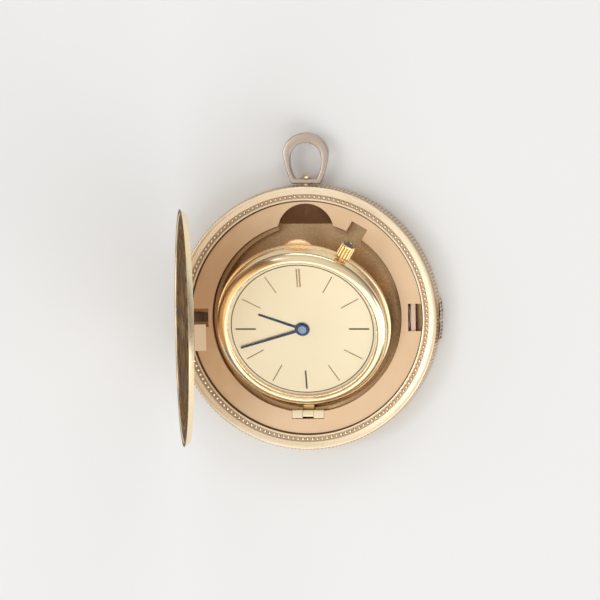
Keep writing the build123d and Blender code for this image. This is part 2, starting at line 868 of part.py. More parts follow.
# Bezel: polished ring with a convex face, which holds the crystal and clamps the dial
crest_drop = (bezel_radius - crest_radius) * (1 - cos(pi / 4))
shoulder_level = bezel_level + bezel_skirt
with BuildPart() as bezel:
    with BuildSketch(head_section):
        with BuildLine():
            Polyline(
                (crest_radius, head_thickness),
                (crystal_radius + seat_gap, head_thickness - hand_thickness),
                (crystal_radius + seat_gap, crystal_level),
                (opening_radius, crystal_level),
                (opening_radius, dial_top + seat_gap),
                (dial_radius + seat_gap, dial_top + seat_gap),
                (dial_radius + seat_gap, bezel_level),
                (bezel_radius, bezel_level),
                (bezel_radius, shoulder_level),
            )
            ThreePointArc(
                (bezel_radius, shoulder_level),
                (bezel_radius - crest_drop, shoulder_level + (head_thickness - shoulder_level) * sin(pi / 4)),
                (crest_radius, head_thickness),
            )
        make_face()
    revolve(axis=head_axis)
bezel.part.label = "bezel"
export_step(bezel.part, "parts/bezel.step")

# Crystal: thin flat glass in the bezel's seat
with BuildPart() as crystal:
    with BuildSketch(head.offset(crystal_level)):
        Circle(crystal_radius)
    extrude(amount=crystal_thickness)
    chamfer(crystal.edges().sort_by(head_axis)[-1], hand_thickness)
crystal.part.label = "crystal"
export_step(crystal.part, "parts/crystal.step")

# Hinge of the head at 6 o'clock: two fixed knuckles on a foot in the frame's notch, and the pin
leaf_inner = head_knuckle_width / 2 + running_gap
with BuildPart() as head_hinge_leaf:
    for side in (1, -1):
        with BuildSketch(Plane.YZ.offset(side * leaf_inner)):
            with Locations((leaf_end, ledge_level)):
                Rectangle(
                    head_knuckle_diameter + head_leaf_back,
                    head_hinge_z - ledge_level,
                    align=(Align.MIN, Align.MIN),
                )
            with Locations((head_hinge_y, head_hinge_z)):
                Circle(head_knuckle_radius)
                Circle(head_pin_diameter / 2 + seat_gap, mode=Mode.SUBTRACT)
        extrude(amount=side * (leaf_half - leaf_inner))
head_hinge_leaf.part.label = "head_hinge_leaf"
export_step(head_hinge_leaf.part, "parts/head_hinge_leaf.step")

with BuildPart() as head_hinge_pin:
    with BuildSketch(Plane.YZ):
        with Locations((head_hinge_y, head_hinge_z)):
            Circle(head_pin_diameter / 2)
    extrude(**centred(leaf_half))
head_hinge_pin.part.label = "head_hinge_pin"
export_step(head_hinge_pin.part, "parts/head_hinge_pin.step")

# Dial, with thin applied hour markers: one a hour, two at 12, bolder at 3, 6 and 9
with BuildPart() as dial:
    with BuildSketch(head.offset(dial_level)):
        Circle(dial_radius)
        Circle(dial_hole_diameter / 2, mode=Mode.SUBTRACT)
    extrude(amount=dial_thickness)
dial.part.label = "dial"
export_step(dial.part, "parts/dial.step")

marker_middle = (marker_inner_radius + marker_outer_radius) / 2
with BuildPart() as hour_markers:
    for hour in range(12):
        offsets = (marker_twin_gap / 2, -marker_twin_gap / 2) if hour == 0 else (0,)
        width = marker_width if hour % 3 else marker_bold_width
        with BuildSketch(on_head(middle_place, dial_top, 90 - 30 * hour)):
            with Locations(*[(marker_middle, offset) for offset in offsets]):
                Rectangle(marker_length, width)
        extrude(amount=marker_height)
hour_markers.part.label = "hour_markers"
export_step(hour_markers.part, "parts/hour_markers.step")

# Hands: slim batons with round bosses, and a cap over the middle
hour_tube_radius = hour_tube_diameter / 2
cannon_radius = cannon_diameter / 2
hour_hand_length = marker_inner_radius - hand_reach_gap
minute_hand_length = marker_outer_radius - hand_reach_gap
with BuildPart() as hour_hand:
    with BuildSketch(on_head(middle_place, hour_level, 90 - hour_hand_angle)):
        Rectangle(hour_hand_length, hand_width, align=(Align.MIN, Align.CENTER))
        Circle(hour_hub_diameter / 2)
        Circle(hour_tube_radius + seat_gap, mode=Mode.SUBTRACT)
    extrude(amount=hand_thickness)
hour_hand.part.label = "hour_hand"
export_step(hour_hand.part, "parts/hour_hand.step")

with BuildPart() as minute_hand:
    with BuildSketch(on_head(middle_place, minute_level, 90 - minute_hand_angle)):
        Rectangle(minute_hand_length, hand_width, align=(Align.MIN, Align.CENTER))
        Circle(minute_hub_diameter / 2)
        Circle(cannon_radius + seat_gap, mode=Mode.SUBTRACT)
    extrude(amount=hand_thickness)
minute_hand.part.label = "minute_hand"
export_step(minute_hand.part, "parts/minute_hand.step")

with BuildPart() as hand_cap:
    with BuildSketch(head.offset(cap_level)):
        Circle(hand_cap_diameter / 2)
    extrude(amount=hand_cap_height)
hand_cap.part.label = "hand_cap"
export_step(hand_cap.part, "parts/hand_cap.step")


def toothed(teeth, radius, phase):
    """Corners of a toothed wheel at a pitch radius, whose first tooth points at an angle in degrees."""
    module = 2 * radius / teeth
    pitch = 2 * pi / teeth
    root = radius - dedendum_share * module
    tip = radius + addendum_share * module
    points = []
    for tooth in range(teeth):
        centre = radians(phase) + tooth * pitch
        for share, reach in (
            (-tooth_root_share, root),
            (-tooth_tip_share, tip),
            (tooth_tip_share, tip),
            (tooth_root_share, root),
        ):
            points.append((reach * cos(centre + share * pitch), reach * sin(centre + share * pitch)))
    return points


def meshed(phase, radius, way, mate_radius, mate_teeth):
    """Angle of a mate's first tooth, so that one of its gaps takes the tooth of a wheel of known phase."""
    half_pitch = pi * mate_radius / mate_teeth
    return way + 180 - degrees((radius * radians(phase - way) + half_pitch) / mate_radius)


# Places of the wheels, each at the sum of two pitch radii from the one that drives it
center_radius = train_module * center_teeth / 2
center_pinion_radius = train_module * center_leaves / 2
barrel_radius = train_module * barrel_teeth / 2
third_pinion_radius = train_module * third_leaves / 2
third_radius = third_module * third_teeth / 2
fourth_pinion_radius = third_module * fourth_leaves / 2
fourth_radius = fourth_module * fourth_teeth / 2
escape_pinion_radius = fourth_module * escape_leaves / 2
escape_radius = escape_modules * train_module / 2
pallet_reach = pallet_reach_modules * train_module
fork_reach = fork_reach_modules * train_module
barrel_place = step_from(middle_place, barrel_way, barrel_radius + center_pinion_radius + mesh_gap)
third_place = step_from(middle_place, third_way, center_radius + third_pinion_radius + mesh_gap)
fourth_place = step_from(third_place, fourth_way, third_radius + fourth_pinion_radius + mesh_gap)
escape_place = step_from(fourth_place, escape_way, fourth_radius + escape_pinion_radius + mesh_gap)
pallet_place = step_from(escape_place, pallet_way, pallet_reach)
balance_place = step_from(pallet_place, balance_way, fork_reach)
barrel_phase = meshed(0, center_pinion_radius, barrel_way, barrel_radius, barrel_teeth)
third_phase = meshed(0, center_radius, third_way, third_pinion_radius, third_leaves)
fourth_phase = meshed(0, third_radius, fourth_way, fourth_pinion_radius, fourth_leaves)
escape_phase = meshed(0, fourth_radius, escape_way, escape_pinion_radius, escape_leaves)

upper_level = train_level + upper_wheel_rise
middle_level = train_level + middle_wheel_rise
lower_level = train_level + lower_wheel_rise
pinion_height = wheel_thickness + 2 * pinion_overlap
jewel_radius = jewel_diameter / 2
pivot_radius = pivot_diameter / 2
arbor_radius = arbor_diameter / 2
wheel_hole_place_share, wheel_hole_size_share = wheel_hole_shares

# Going train: every arbor carries a wheel with round crossings and a pinion.
# Each has its place, level, teeth and radius, its pinion's level, height, leaves, radius and phase, and the
# ends of its arbor and its pivot
train_top = mainplate_level - layer_gap
going_train = {
    "center_wheel": (
        (middle_place, upper_level, center_teeth, center_radius),
        (middle_level, barrel_height, center_leaves, center_pinion_radius, 0),
        (cap_level - hand_thickness, cap_level - hand_thickness),
    ),
    "third_wheel": (
        (third_place, lower_level, third_teeth, third_radius),
        (upper_level - seat_gap, pinion_height, third_leaves, third_pinion_radius, third_phase),
        (train_top, mainplate_top),
    ),
    "fourth_wheel": (
        (fourth_place, middle_level, fourth_teeth, fourth_radius),
        (lower_level - pinion_overlap, pinion_height, fourth_leaves, fourth_pinion_radius, fourth_phase),
        (train_top, mainplate_top),
    ),
}
for name, (rim, pinion, (arbor_end, pivot_end)) in going_train.items():
    place, level, teeth, radius = rim
    pinion_level, leaf_height, leaves, leaf_radius, leaf_phase = pinion
    with BuildPart() as wheel:
        with BuildSketch(on_head(place, level)):
            with BuildLine():
                Polyline(*toothed(teeth, radius, 0), close=True)
            make_face()
            with PolarLocations(radius * wheel_hole_place_share, wheel_hole_count):
                Circle(radius * wheel_hole_size_share, mode=Mode.SUBTRACT)
        extrude(amount=wheel_thickness)
        with BuildSketch(on_head(place, pinion_level)):
            with BuildLine():
                Polyline(*toothed(leaves, leaf_radius, leaf_phase), close=True)
            make_face()
        extrude(amount=leaf_height)
        with BuildSketch(on_head(place, train_level)):
            Circle(arbor_radius)
        extrude(amount=arbor_end - train_level)
        with BuildSketch(on_head(place, bridge_level)):
            Circle(pivot_radius)
        extrude(amount=pivot_end - bridge_level)
    wheel.part.label = name
    export_step(wheel.part, f"parts/{name}.step")

# Escape wheel: hooked teeth, on a pinion driven by the fourth wheel
escape_back_share, escape_root_share = escape_shares
escape_points = []
for tooth in range(escape_teeth):
    pitch = 2 * pi / escape_teeth
    for share, reach in (
        (0, escape_radius),
        (tooth_tip_share, escape_radius * escape_back_share),
        (tooth_root_share, escape_radius * escape_root_share),
        (1 - tooth_tip_share, escape_radius * escape_root_share),
    ):
        escape_points.append((reach * cos((tooth + share) * pitch), reach * sin((tooth + share) * pitch)))
with BuildPart() as escape_wheel:
    with BuildSketch(on_head(escape_place, lower_level)):
        with BuildLine():
            Polyline(*escape_points, close=True)
        make_face()
        with PolarLocations(escape_radius / 2, wheel_hole_count):
            Circle(escape_radius * escape_hole_share, mode=Mode.SUBTRACT)
    extrude(amount=wheel_thickness)
    with BuildSketch(on_head(escape_place, middle_level - pinion_overlap)):
        with BuildLine():
            Polyline(*toothed(escape_leaves, escape_pinion_radius, escape_phase), close=True)
        make_face()
    extrude(amount=pinion_height)
    with BuildSketch(on_head(escape_place, train_level)):
        Circle(arbor_radius)
    extrude(amount=train_top - train_level)
    with BuildSketch(on_head(escape_place, bridge_level)):
        Circle(pivot_radius)
    extrude(amount=mainplate_top - bridge_level)
escape_wheel.part.label = "escape_wheel"
export_step(escape_wheel.part, "parts/escape_wheel.step")

# Pallet fork: anchor with two pallets towards the escape wheel, and a forked arm towards the balance
roller_radius = roller_modules * train_module / 2
pallet_arm = pallet_arm_modules * train_module
pallet_stone = pallet_stone_modules * train_module
to_escape = pallet_way + 180
with BuildPart() as pallet_fork:
    with BuildSketch(on_head(pallet_place, lower_level, to_escape)):
        Rectangle(pallet_width, 2 * pallet_arm)
        with Locations((0, pallet_arm - pallet_width / 2), (0, pallet_width / 2 - pallet_arm)):
            Rectangle(pallet_stone, pallet_width, align=(Align.MIN, Align.CENTER))
    extrude(amount=wheel_thickness)
    with BuildSketch(on_head(pallet_place, lower_level, balance_way)):
        Rectangle(fork_reach - roller_radius / 2, pallet_width, align=(Align.MIN, Align.CENTER))
        with Locations((fork_reach - roller_radius / 2, 0)):
            Rectangle(
                roller_radius / 2,
                impulse_pin_diameter + 2 * running_gap,
                align=(Align.MAX, Align.CENTER),
                mode=Mode.SUBTRACT,
            )
    extrude(amount=wheel_thickness)
    with BuildSketch(on_head(pallet_place, train_level)):
        Circle(arbor_radius)
    extrude(amount=train_top - train_level)
    with BuildSketch(on_head(pallet_place, bridge_level)):
        Circle(pivot_radius)
    extrude(amount=mainplate_top - bridge_level)
pallet_fork.part.label = "pallet_fork"
export_step(pallet_fork.part, "parts/pallet_fork.step")

# Balance: rim on two arms, staff, roller and impulse pin
balance_radius = balance_modules * train_module / 2
roller_level = lower_level - layer_gap - motion_wheel_thickness
with BuildPart() as balance_wheel:
    with BuildSketch(on_head(balance_place, upper_level)):
        Circle(balance_radius)
        Circle(balance_radius - balance_rim, mode=Mode.SUBTRACT)
        Rectangle(2 * balance_radius - balance_rim, balance_arm)
        Circle(roller_radius)
    extrude(amount=balance_height)
    with BuildSketch(on_head(balance_place, roller_level)):
        Circle(roller_radius)
    extrude(amount=motion_wheel_thickness)
    with BuildSketch(on_head(balance_place, roller_level, balance_way)):
        with Locations((impulse_pin_diameter - roller_radius, 0)):
            Circle(impulse_pin_diameter / 2)
    extrude(amount=lower_level + wheel_thickness - roller_level)
    with BuildSketch(on_head(balance_place, train_level)):
        Circle(arbor_radius)
    extrude(amount=train_top - train_level)
    with BuildSketch(on_head(balance_place, bridge_level)):
        Circle(pivot_radius)
    extrude(amount=mainplate_top - bridge_level)
balance_wheel.part.label = "balance_wheel"
export_step(balance_wheel.part, "parts/balance_wheel.step")


def coil_points(inner, outer, thickness, turns):
    """Both edges of a flat coil that grows evenly from an inner to an outer radius, as one row of corners."""
    near = []
    far = []
    for mark in range(turns * coil_steps + 1):
        angle = 2 * pi * mark / coil_steps
        radius = inner + (outer - thickness - inner) * mark / (turns * coil_steps)
        near.append((radius * cos(angle), radius * sin(angle)))
        far.append(((radius + thickness) * cos(angle), (radius + thickness) * sin(angle)))
    return near + far[::-1]


with BuildPart() as hairspring:
    with BuildSketch(on_head(balance_place, upper_level + balance_height + layer_gap)):
        with BuildLine():
            Polyline(
                *coil_points(
                    arbor_radius + seat_gap,
                    hairspring_modules * train_module,
                    hairspring_thickness,
                    hairspring_turns,
                ),
                close=True,
            )
        make_face()
    extrude(amount=motion_wheel_thickness)
hairspring.part.label = "hairspring"
export_step(hairspring.part, "parts/hairspring.step")

# Mainspring barrel: toothed drum with a cover, the spring coiled inside, and the arbor with its ratchet wheel
drum_radius = barrel_radius - dedendum_share * train_module - barrel_wall
barrel_arbor_radius = barrel_arbor_diameter / 2
barrel_core_radius = barrel_core_diameter / 2
with BuildPart() as mainspring_barrel:
    with BuildSketch(on_head(barrel_place, middle_level)):
        with BuildLine():
            Polyline(*toothed(barrel_teeth, barrel_radius, barrel_phase), close=True)
        make_face()
        Circle(barrel_arbor_radius + running_gap, mode=Mode.SUBTRACT)
    extrude(amount=barrel_height)
    with BuildSketch(on_head(barrel_place, middle_level + barrel_floor)):
        Circle(drum_radius)
    extrude(amount=barrel_height, mode=Mode.SUBTRACT)
mainspring_barrel.part.label = "mainspring_barrel"
export_step(mainspring_barrel.part, "parts/mainspring_barrel.step")

with BuildPart() as barrel_cover:
    with BuildSketch(on_head(barrel_place, middle_level + barrel_height - barrel_floor)):
        Circle(drum_radius - seat_gap)
        Circle(barrel_arbor_radius + running_gap, mode=Mode.SUBTRACT)
    extrude(amount=barrel_floor)
barrel_cover.part.label = "barrel_cover"
export_step(barrel_cover.part, "parts/barrel_cover.step")

with BuildPart() as mainspring:
    with BuildSketch(on_head(barrel_place, middle_level + barrel_floor + layer_gap)):
        with BuildLine():
            Polyline(
                *coil_points(
                    barrel_core_radius + running_gap,
                    drum_radius - seat_gap,
                    mainspring_thickness,
                    mainspring_turns,
                ),
                close=True,
            )
        make_face()
    extrude(amount=barrel_height - 2 * barrel_floor - 2 * layer_gap)
mainspring.part.label = "mainspring"
export_step(mainspring.part, "parts/mainspring.step")

with BuildPart() as barrel_arbor:
    with BuildSketch(on_head(barrel_place, ratchet_level)):
        Circle(barrel_arbor_radius)
    extrude(amount=mainplate_top - ratchet_level)
    with BuildSketch(on_head(barrel_place, middle_level + barrel_floor + seat_gap)):
        Circle(barrel_core_radius)
    extrude(amount=barrel_height - 2 * barrel_floor - 2 * seat_gap)
barrel_arbor.part.label = "barrel_arbor"
export_step(barrel_arbor.part, "parts/barrel_arbor.step")

# Winding wheels on the back of the movement: the crown wheel under the stem's pinion drives the ratchet wheel
ratchet_radius = train_module * ratchet_teeth / 2
crown_wheel_radius = train_module * crown_wheel_teeth / 2
winding_reach = ratchet_radius + crown_wheel_radius + mesh_gap
barrel_x, barrel_y = barrel_place
along_stem = barrel_x * stem_x + barrel_y * stem_y
crown_wheel_reach = along_stem + sqrt(along_stem**2 - barrel_x**2 - barrel_y**2 + winding_reach**2)
crown_wheel_place = (crown_wheel_reach * stem_x, crown_wheel_reach * stem_y)
ratchet_way = degrees(atan2(barrel_y - crown_wheel_place[1], barrel_x - crown_wheel_place[0]))
ratchet_phase = meshed(0, crown_wheel_radius, ratchet_way, ratchet_radius, ratchet_teeth)
crown_wheel_bore = barrel_core_radius + running_gap
ratchet_bore = barrel_arbor_radius + seat_gap
winding_wheels = {
    "crown_wheel": (crown_wheel_place, crown_wheel_teeth, crown_wheel_radius, 0, crown_wheel_bore),
    "ratchet_wheel": (barrel_place, ratchet_teeth, ratchet_radius, ratchet_phase, ratchet_bore),
}
for name, (place, teeth, radius, phase, bore) in winding_wheels.items():
    with BuildPart() as wheel:
        with BuildSketch(on_head(place, ratchet_level)):
            with BuildLine():
                Polyline(*toothed(teeth, radius, phase), close=True)
            make_face()
            Circle(bore, mode=Mode.SUBTRACT)
        extrude(amount=ratchet_thickness)
    wheel.part.label = name
    export_step(wheel.part, f"parts/{name}.step")

click_width = click_modules * train_module
click_place = step_from(barrel_place, click_pivot_way, ratchet_radius + click_width * 2)
click_nose = step_from(barrel_place, click_nose_way, ratchet_radius + train_module + running_gap)
click_turn = degrees(atan2(click_nose[1] - click_place[1], click_nose[0] - click_place[0]))
click_reach = hypot(click_nose[0] - click_place[0], click_nose[1] - click_place[1])
with BuildPart() as click:
    with BuildSketch(on_head(click_place, ratchet_level, click_turn)):
        Circle(click_width / 2)
        with BuildLine():
            Polyline(
                (0, click_width / 2),
                (click_reach, seat_gap),
                (click_reach, -seat_gap),
                (0, -click_width / 2),
                close=True,
            )
        make_face()
        Circle(screw_diameter / 4 + running_gap, mode=Mode.SUBTRACT)
    extrude(amount=ratchet_thickness)
click.part.label = "click"
export_step(click.part, "parts/click.step")

# Mainplate: carries the train on its back and the motion work and dial on its front
screw_places = [step_from(middle_place, way, bridge_radius - bridge_leg_width / 2) for way in screw_ways]
train_places = [third_place, fourth_place, escape_place, pallet_place, balance_place]
cannon_pinion_radius = train_module * cannon_leaves / 2
minute_wheel_radius = train_module * minute_wheel_teeth / 2
minute_reach = cannon_pinion_radius + minute_wheel_radius + mesh_gap
minute_place = step_from(middle_place, minute_wheel_way, minute_reach)
stem_inner_radius = stem_inner_modules * train_module
winding_pinion_length = winding_pinion_length_modules * train_module
winding_tip = winding_pinion_modules * train_module / 2
window_inner = stem_inner_radius - seat_gap
window_length = winding_pinion_length + crown_pull + 2 * swing_gap
window_width = 2 * winding_tip + 2 * swing_gap
with BuildPart() as mainplate:
    with BuildSketch(on_head(middle_place, mainplate_level)):
        Circle(plate_radius)
        Circle(arbor_radius + running_gap, mode=Mode.SUBTRACT)
        with Locations(*train_places):
            Circle(jewel_radius + seat_gap, mode=Mode.SUBTRACT)
        with Locations(*screw_places):
            Circle(screw_diameter / 2 + seat_gap, mode=Mode.SUBTRACT)
        with Locations(barrel_place):
            Circle(barrel_arbor_radius + running_gap, mode=Mode.SUBTRACT)
    extrude(amount=mainplate_thickness)
    with BuildSketch(on_head(middle_place, mainplate_level, crown_angle)):
        with Locations((window_inner, 0)):
            Rectangle(window_length, window_width, align=(Align.MIN, Align.CENTER))
    extrude(amount=mainplate_thickness, mode=Mode.SUBTRACT)
    with BuildSketch(on_head(middle_place, mainplate_top)):
        Circle(dial_radius)
        Circle(dial_radius - plate_rim_width, mode=Mode.SUBTRACT)
    extrude(amount=dial_level - mainplate_top)
    with BuildSketch(on_head(minute_place, mainplate_top)):
        Circle(minute_stud_diameter / 2)
    extrude(amount=dial_level - layer_gap - mainplate_top)
mainplate.part.label = "mainplate"
export_step(mainplate.part, "parts/mainplate.step")

# Bridges: three plates on legs round the rim of the mainplate, with pivot holes for the train
bridge_split = bridge_split_modules * train_module
cock_split = cock_split_modules * train_module
stem_window = stem_window_modules * train_module
lower_corner = bridge_split - layer_gap - bridge_diameter
bridges = {
    "barrel_bridge": ((-bridge_radius, bridge_split), bridge_diameter),
    "train_bridge": ((-bridge_radius, lower_corner), bridge_radius + cock_split),
    "balance_cock": ((cock_split + layer_gap, lower_corner), bridge_diameter),
}
for name, (corner, wide) in bridges.items():
    with BuildPart() as bridge:
        with BuildSketch(on_head(middle_place, bridge_level)):
            Circle(bridge_radius)
            with Locations(middle_place, *train_places):
                Circle(jewel_radius + seat_gap, mode=Mode.SUBTRACT)
            with Locations(barrel_place):
                Circle(barrel_arbor_radius + running_gap, mode=Mode.SUBTRACT)
            with Locations(corner):
                Rectangle(wide, bridge_diameter, align=(Align.MIN, Align.MIN), mode=Mode.INTERSECT)
        extrude(amount=bridge_thickness)
        with BuildSketch(on_head(middle_place, bridge_top)):
            Circle(bridge_radius)
            Circle(bridge_radius - bridge_leg_width, mode=Mode.SUBTRACT)
            with Locations(corner):
                Rectangle(wide, bridge_diameter, align=(Align.MIN, Align.MIN), mode=Mode.INTERSECT)
        extrude(amount=mainplate_level - bridge_top)
        with BuildSketch(on_head(middle_place, bridge_level)):
            with Locations(*screw_places):
                Circle(screw_diameter / 2 + seat_gap)
        extrude(amount=mainplate_level - bridge_level, mode=Mode.SUBTRACT)
        if name == "barrel_bridge":
            with BuildSketch(on_head(middle_place, bridge_level, crown_angle)):
                with Locations((window_inner, 0)):
                    Rectangle(window_length, window_width, align=(Align.MIN, Align.CENTER))
            extrude(amount=bridge_thickness, mode=Mode.SUBTRACT)
            with BuildSketch(on_head(middle_place, bridge_top, crown_angle)):
                with Locations((stem_inner_radius, 0)):
                    Rectangle(bridge_radius, stem_window, align=(Align.MIN, Align.CENTER))
            extrude(amount=mainplate_level - bridge_top, mode=Mode.SUBTRACT)
            with BuildSketch(on_head(crown_wheel_place, ratchet_level)):
                Circle(barrel_core_radius)
            extrude(amount=bridge_level - ratchet_level)
            with BuildSketch(on_head(click_place, ratchet_level)):
                Circle(screw_diameter / 4)
            extrude(amount=bridge_level - ratchet_level)
    bridge.part.label = name
    export_step(bridge.part, f"parts/{name}.step")

# Bridge screws and pivot jewels, each kind in one group
with BuildPart() as bridge_screws:
    with BuildSketch(on_head(middle_place, ratchet_level + layer_gap)):
        with Locations(*screw_places):
            Circle(screw_head_diameter / 2)
    extrude(amount=bridge_level - ratchet_level - layer_gap)
    with BuildSketch(on_head(middle_place, ratchet_level + layer_gap)):
        with Locations(*screw_places):
            Rectangle(screw_head_diameter, screw_slot_width)
    extrude(amount=screw_slot_depth, mode=Mode.SUBTRACT)
    with BuildSketch(on_head(middle_place, bridge_level)):
        with Locations(*screw_places):
            Circle(screw_diameter / 2)
    extrude(amount=mainplate_top - layer_gap - bridge_level)
bridge_screws.part.label = "bridge_screws"
export_step(bridge_screws.part, "parts/bridge_screws.step")

with BuildPart() as jewels:
    with BuildSketch(on_head(middle_place, mainplate_level)):
        with Locations(*train_places):
            Circle(jewel_radius)
            Circle(pivot_radius + running_gap, mode=Mode.SUBTRACT)
    extrude(amount=mainplate_thickness)
    with BuildSketch(on_head(middle_place, bridge_level)):
        with Locations(middle_place, *train_places):
            Circle(jewel_radius)
            Circle(pivot_radius + running_gap, mode=Mode.SUBTRACT)
    extrude(amount=bridge_thickness)
jewels.part.label = "jewels"
export_step(jewels.part, "parts/jewels.step")

# Motion work under the dial: cannon pinion, minute wheel and hour wheel
hour_wheel_radius = minute_reach * hour_wheel_teeth / (hour_wheel_teeth + minute_wheel_leaves) - mesh_gap / 2
minute_pinion_radius = hour_wheel_radius * minute_wheel_leaves / hour_wheel_teeth
minute_phase = meshed(0, cannon_pinion_radius, minute_wheel_way, minute_wheel_radius, minute_wheel_teeth)
hour_phase = meshed(0, minute_pinion_radius, minute_wheel_way + 180, hour_wheel_radius, hour_wheel_teeth)
hour_wheel_level = motion_level + motion_wheel_thickness + layer_gap
with BuildPart() as cannon_pinion:
    with BuildSketch(on_head(middle_place, motion_level)):
        with BuildLine():
            Polyline(*toothed(cannon_leaves, cannon_pinion_radius, 0), close=True)
        make_face()
    extrude(amount=motion_wheel_thickness)
    with BuildSketch(on_head(middle_place, motion_level)):
        Circle(cannon_radius)
    extrude(amount=cap_level - motion_level)
    with BuildSketch(on_head(middle_place, motion_level)):
        Circle(cannon_bore_diameter / 2)
    extrude(amount=cap_level - motion_level, mode=Mode.SUBTRACT)
cannon_pinion.part.label = "cannon_pinion"
export_step(cannon_pinion.part, "parts/cannon_pinion.step")

with BuildPart() as minute_wheel:
    with BuildSketch(on_head(minute_place, motion_level)):
        with BuildLine():
            Polyline(*toothed(minute_wheel_teeth, minute_wheel_radius, minute_phase), close=True)
        make_face()
    extrude(amount=motion_wheel_thickness)
    with BuildSketch(on_head(minute_place, motion_level)):
        with BuildLine():
            Polyline(*toothed(minute_wheel_leaves, minute_pinion_radius, 0), close=True)
        make_face()
    extrude(amount=motion_height)
    with BuildSketch(on_head(minute_place, motion_level)):
        Circle(minute_stud_diameter / 2 + running_gap)
    extrude(amount=motion_height, mode=Mode.SUBTRACT)
minute_wheel.part.label = "minute_wheel"
export_step(minute_wheel.part, "parts/minute_wheel.step")

with BuildPart() as hour_wheel:
    with BuildSketch(on_head(middle_place, hour_wheel_level)):
        with BuildLine():
            Polyline(*toothed(hour_wheel_teeth, hour_wheel_radius, hour_phase), close=True)
        make_face()
    extrude(amount=motion_wheel_thickness)
    with BuildSketch(on_head(middle_place, hour_wheel_level)):
        Circle(hour_tube_radius)
    extrude(amount=hour_level + hand_thickness - hour_wheel_level)
    with BuildSketch(on_head(middle_place, hour_wheel_level)):
        Circle(hour_tube_bore_diameter / 2)
    extrude(amount=hour_level + hand_thickness - hour_wheel_level, mode=Mode.SUBTRACT)
hour_wheel.part.label = "hour_wheel"
export_step(hour_wheel.part, "parts/hour_wheel.step")

# Crown, stem, winding pinion and setting lever at 1 o'clock, and the tube that guides the stem
stem_radius = stem_diameter / 2
crown_radius = crown_diameter / 2
pinion_start = stem_inner_radius + swing_gap
lever_radius = lever_place_modules * train_module
lever_length = lever_length_modules * train_module
lever_width = lever_width_modules * train_module
with BuildPart() as crown:
    with BuildSketch(across_stem(crown_inner_radius)):
        with BuildLine():
            Polyline(*reed_points(crown_radius, crown_flute_depth, crown_flutes, 0, crown_flutes), close=True)
        make_face()
        Circle(stem_radius + seat_gap, mode=Mode.SUBTRACT)
    extrude(amount=crown_length - crown_cap)
    with BuildSketch(across_stem(crown_inner_radius + crown_bore_depth)):
        Circle(crown_radius - crown_flute_depth)
    extrude(amount=crown_length - crown_bore_depth)
    chamfer(crown.faces().sort_by(stem_axis)[-1].edges(), crown_flute_depth)
crown.part.label = "crown"
export_step(crown.part, "parts/crown.step")

with BuildPart() as stem:
    with BuildSketch(across_stem(stem_inner_radius)):
        Circle(stem_radius)
    extrude(amount=crown_inner_radius + crown_bore_depth - stem_inner_radius)
    with BuildSketch(across_stem(lever_radius - stem_groove_width / 2)):
        Circle(stem_radius + overrun)
        Circle(stem_groove_diameter / 2, mode=Mode.SUBTRACT)
    extrude(amount=stem_groove_width, mode=Mode.SUBTRACT)
stem.part.label = "stem"
export_step(stem.part, "parts/stem.step")

winding_pitch_radius = winding_tip / (1 + 2 * addendum_share / winding_pinion_teeth)
with BuildPart() as winding_pinion:
    with BuildSketch(across_stem(pinion_start)):
        with BuildLine():
            Polyline(*toothed(winding_pinion_teeth, winding_pitch_radius, 0), close=True)
        make_face()
        Circle(stem_radius + seat_gap, mode=Mode.SUBTRACT)
    extrude(amount=winding_pinion_length)
winding_pinion.part.label = "winding_pinion"
export_step(winding_pinion.part, "parts/winding_pinion.step")

with BuildPart() as case_tube:
    with BuildSketch(across_stem(band_radius - case_tube_depth)):
        Circle(case_tube_diameter / 2)
        Circle(stem_radius + running_gap, mode=Mode.SUBTRACT)
    extrude(amount=crown_inner_radius - swing_gap - band_radius + case_tube_depth)
case_tube.part.label = "case_tube"
export_step(case_tube.part, "parts/case_tube.step")

lever_pin_radius = stem_groove_diameter / 2
with BuildPart() as setting_lever:
    with BuildSketch(on_head(middle_place, train_level, crown_angle)):
        with Locations((lever_radius, 0)):
            Rectangle(lever_width, lever_length)
    extrude(amount=lever_thickness)
    with BuildSketch(on_head(middle_place, train_level, crown_angle)):
        with Locations((lever_radius, 0)):
            Circle(lever_pin_radius)
    extrude(amount=stem_level - stem_groove_diameter / 2 - seat_gap - train_level)
setting_lever.part.label = "setting_lever"
export_step(setting_lever.part, "parts/setting_lever.step")
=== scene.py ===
import json
import math

import bmesh
import bpy
import numpy as np
from mathutils import Matrix, Vector

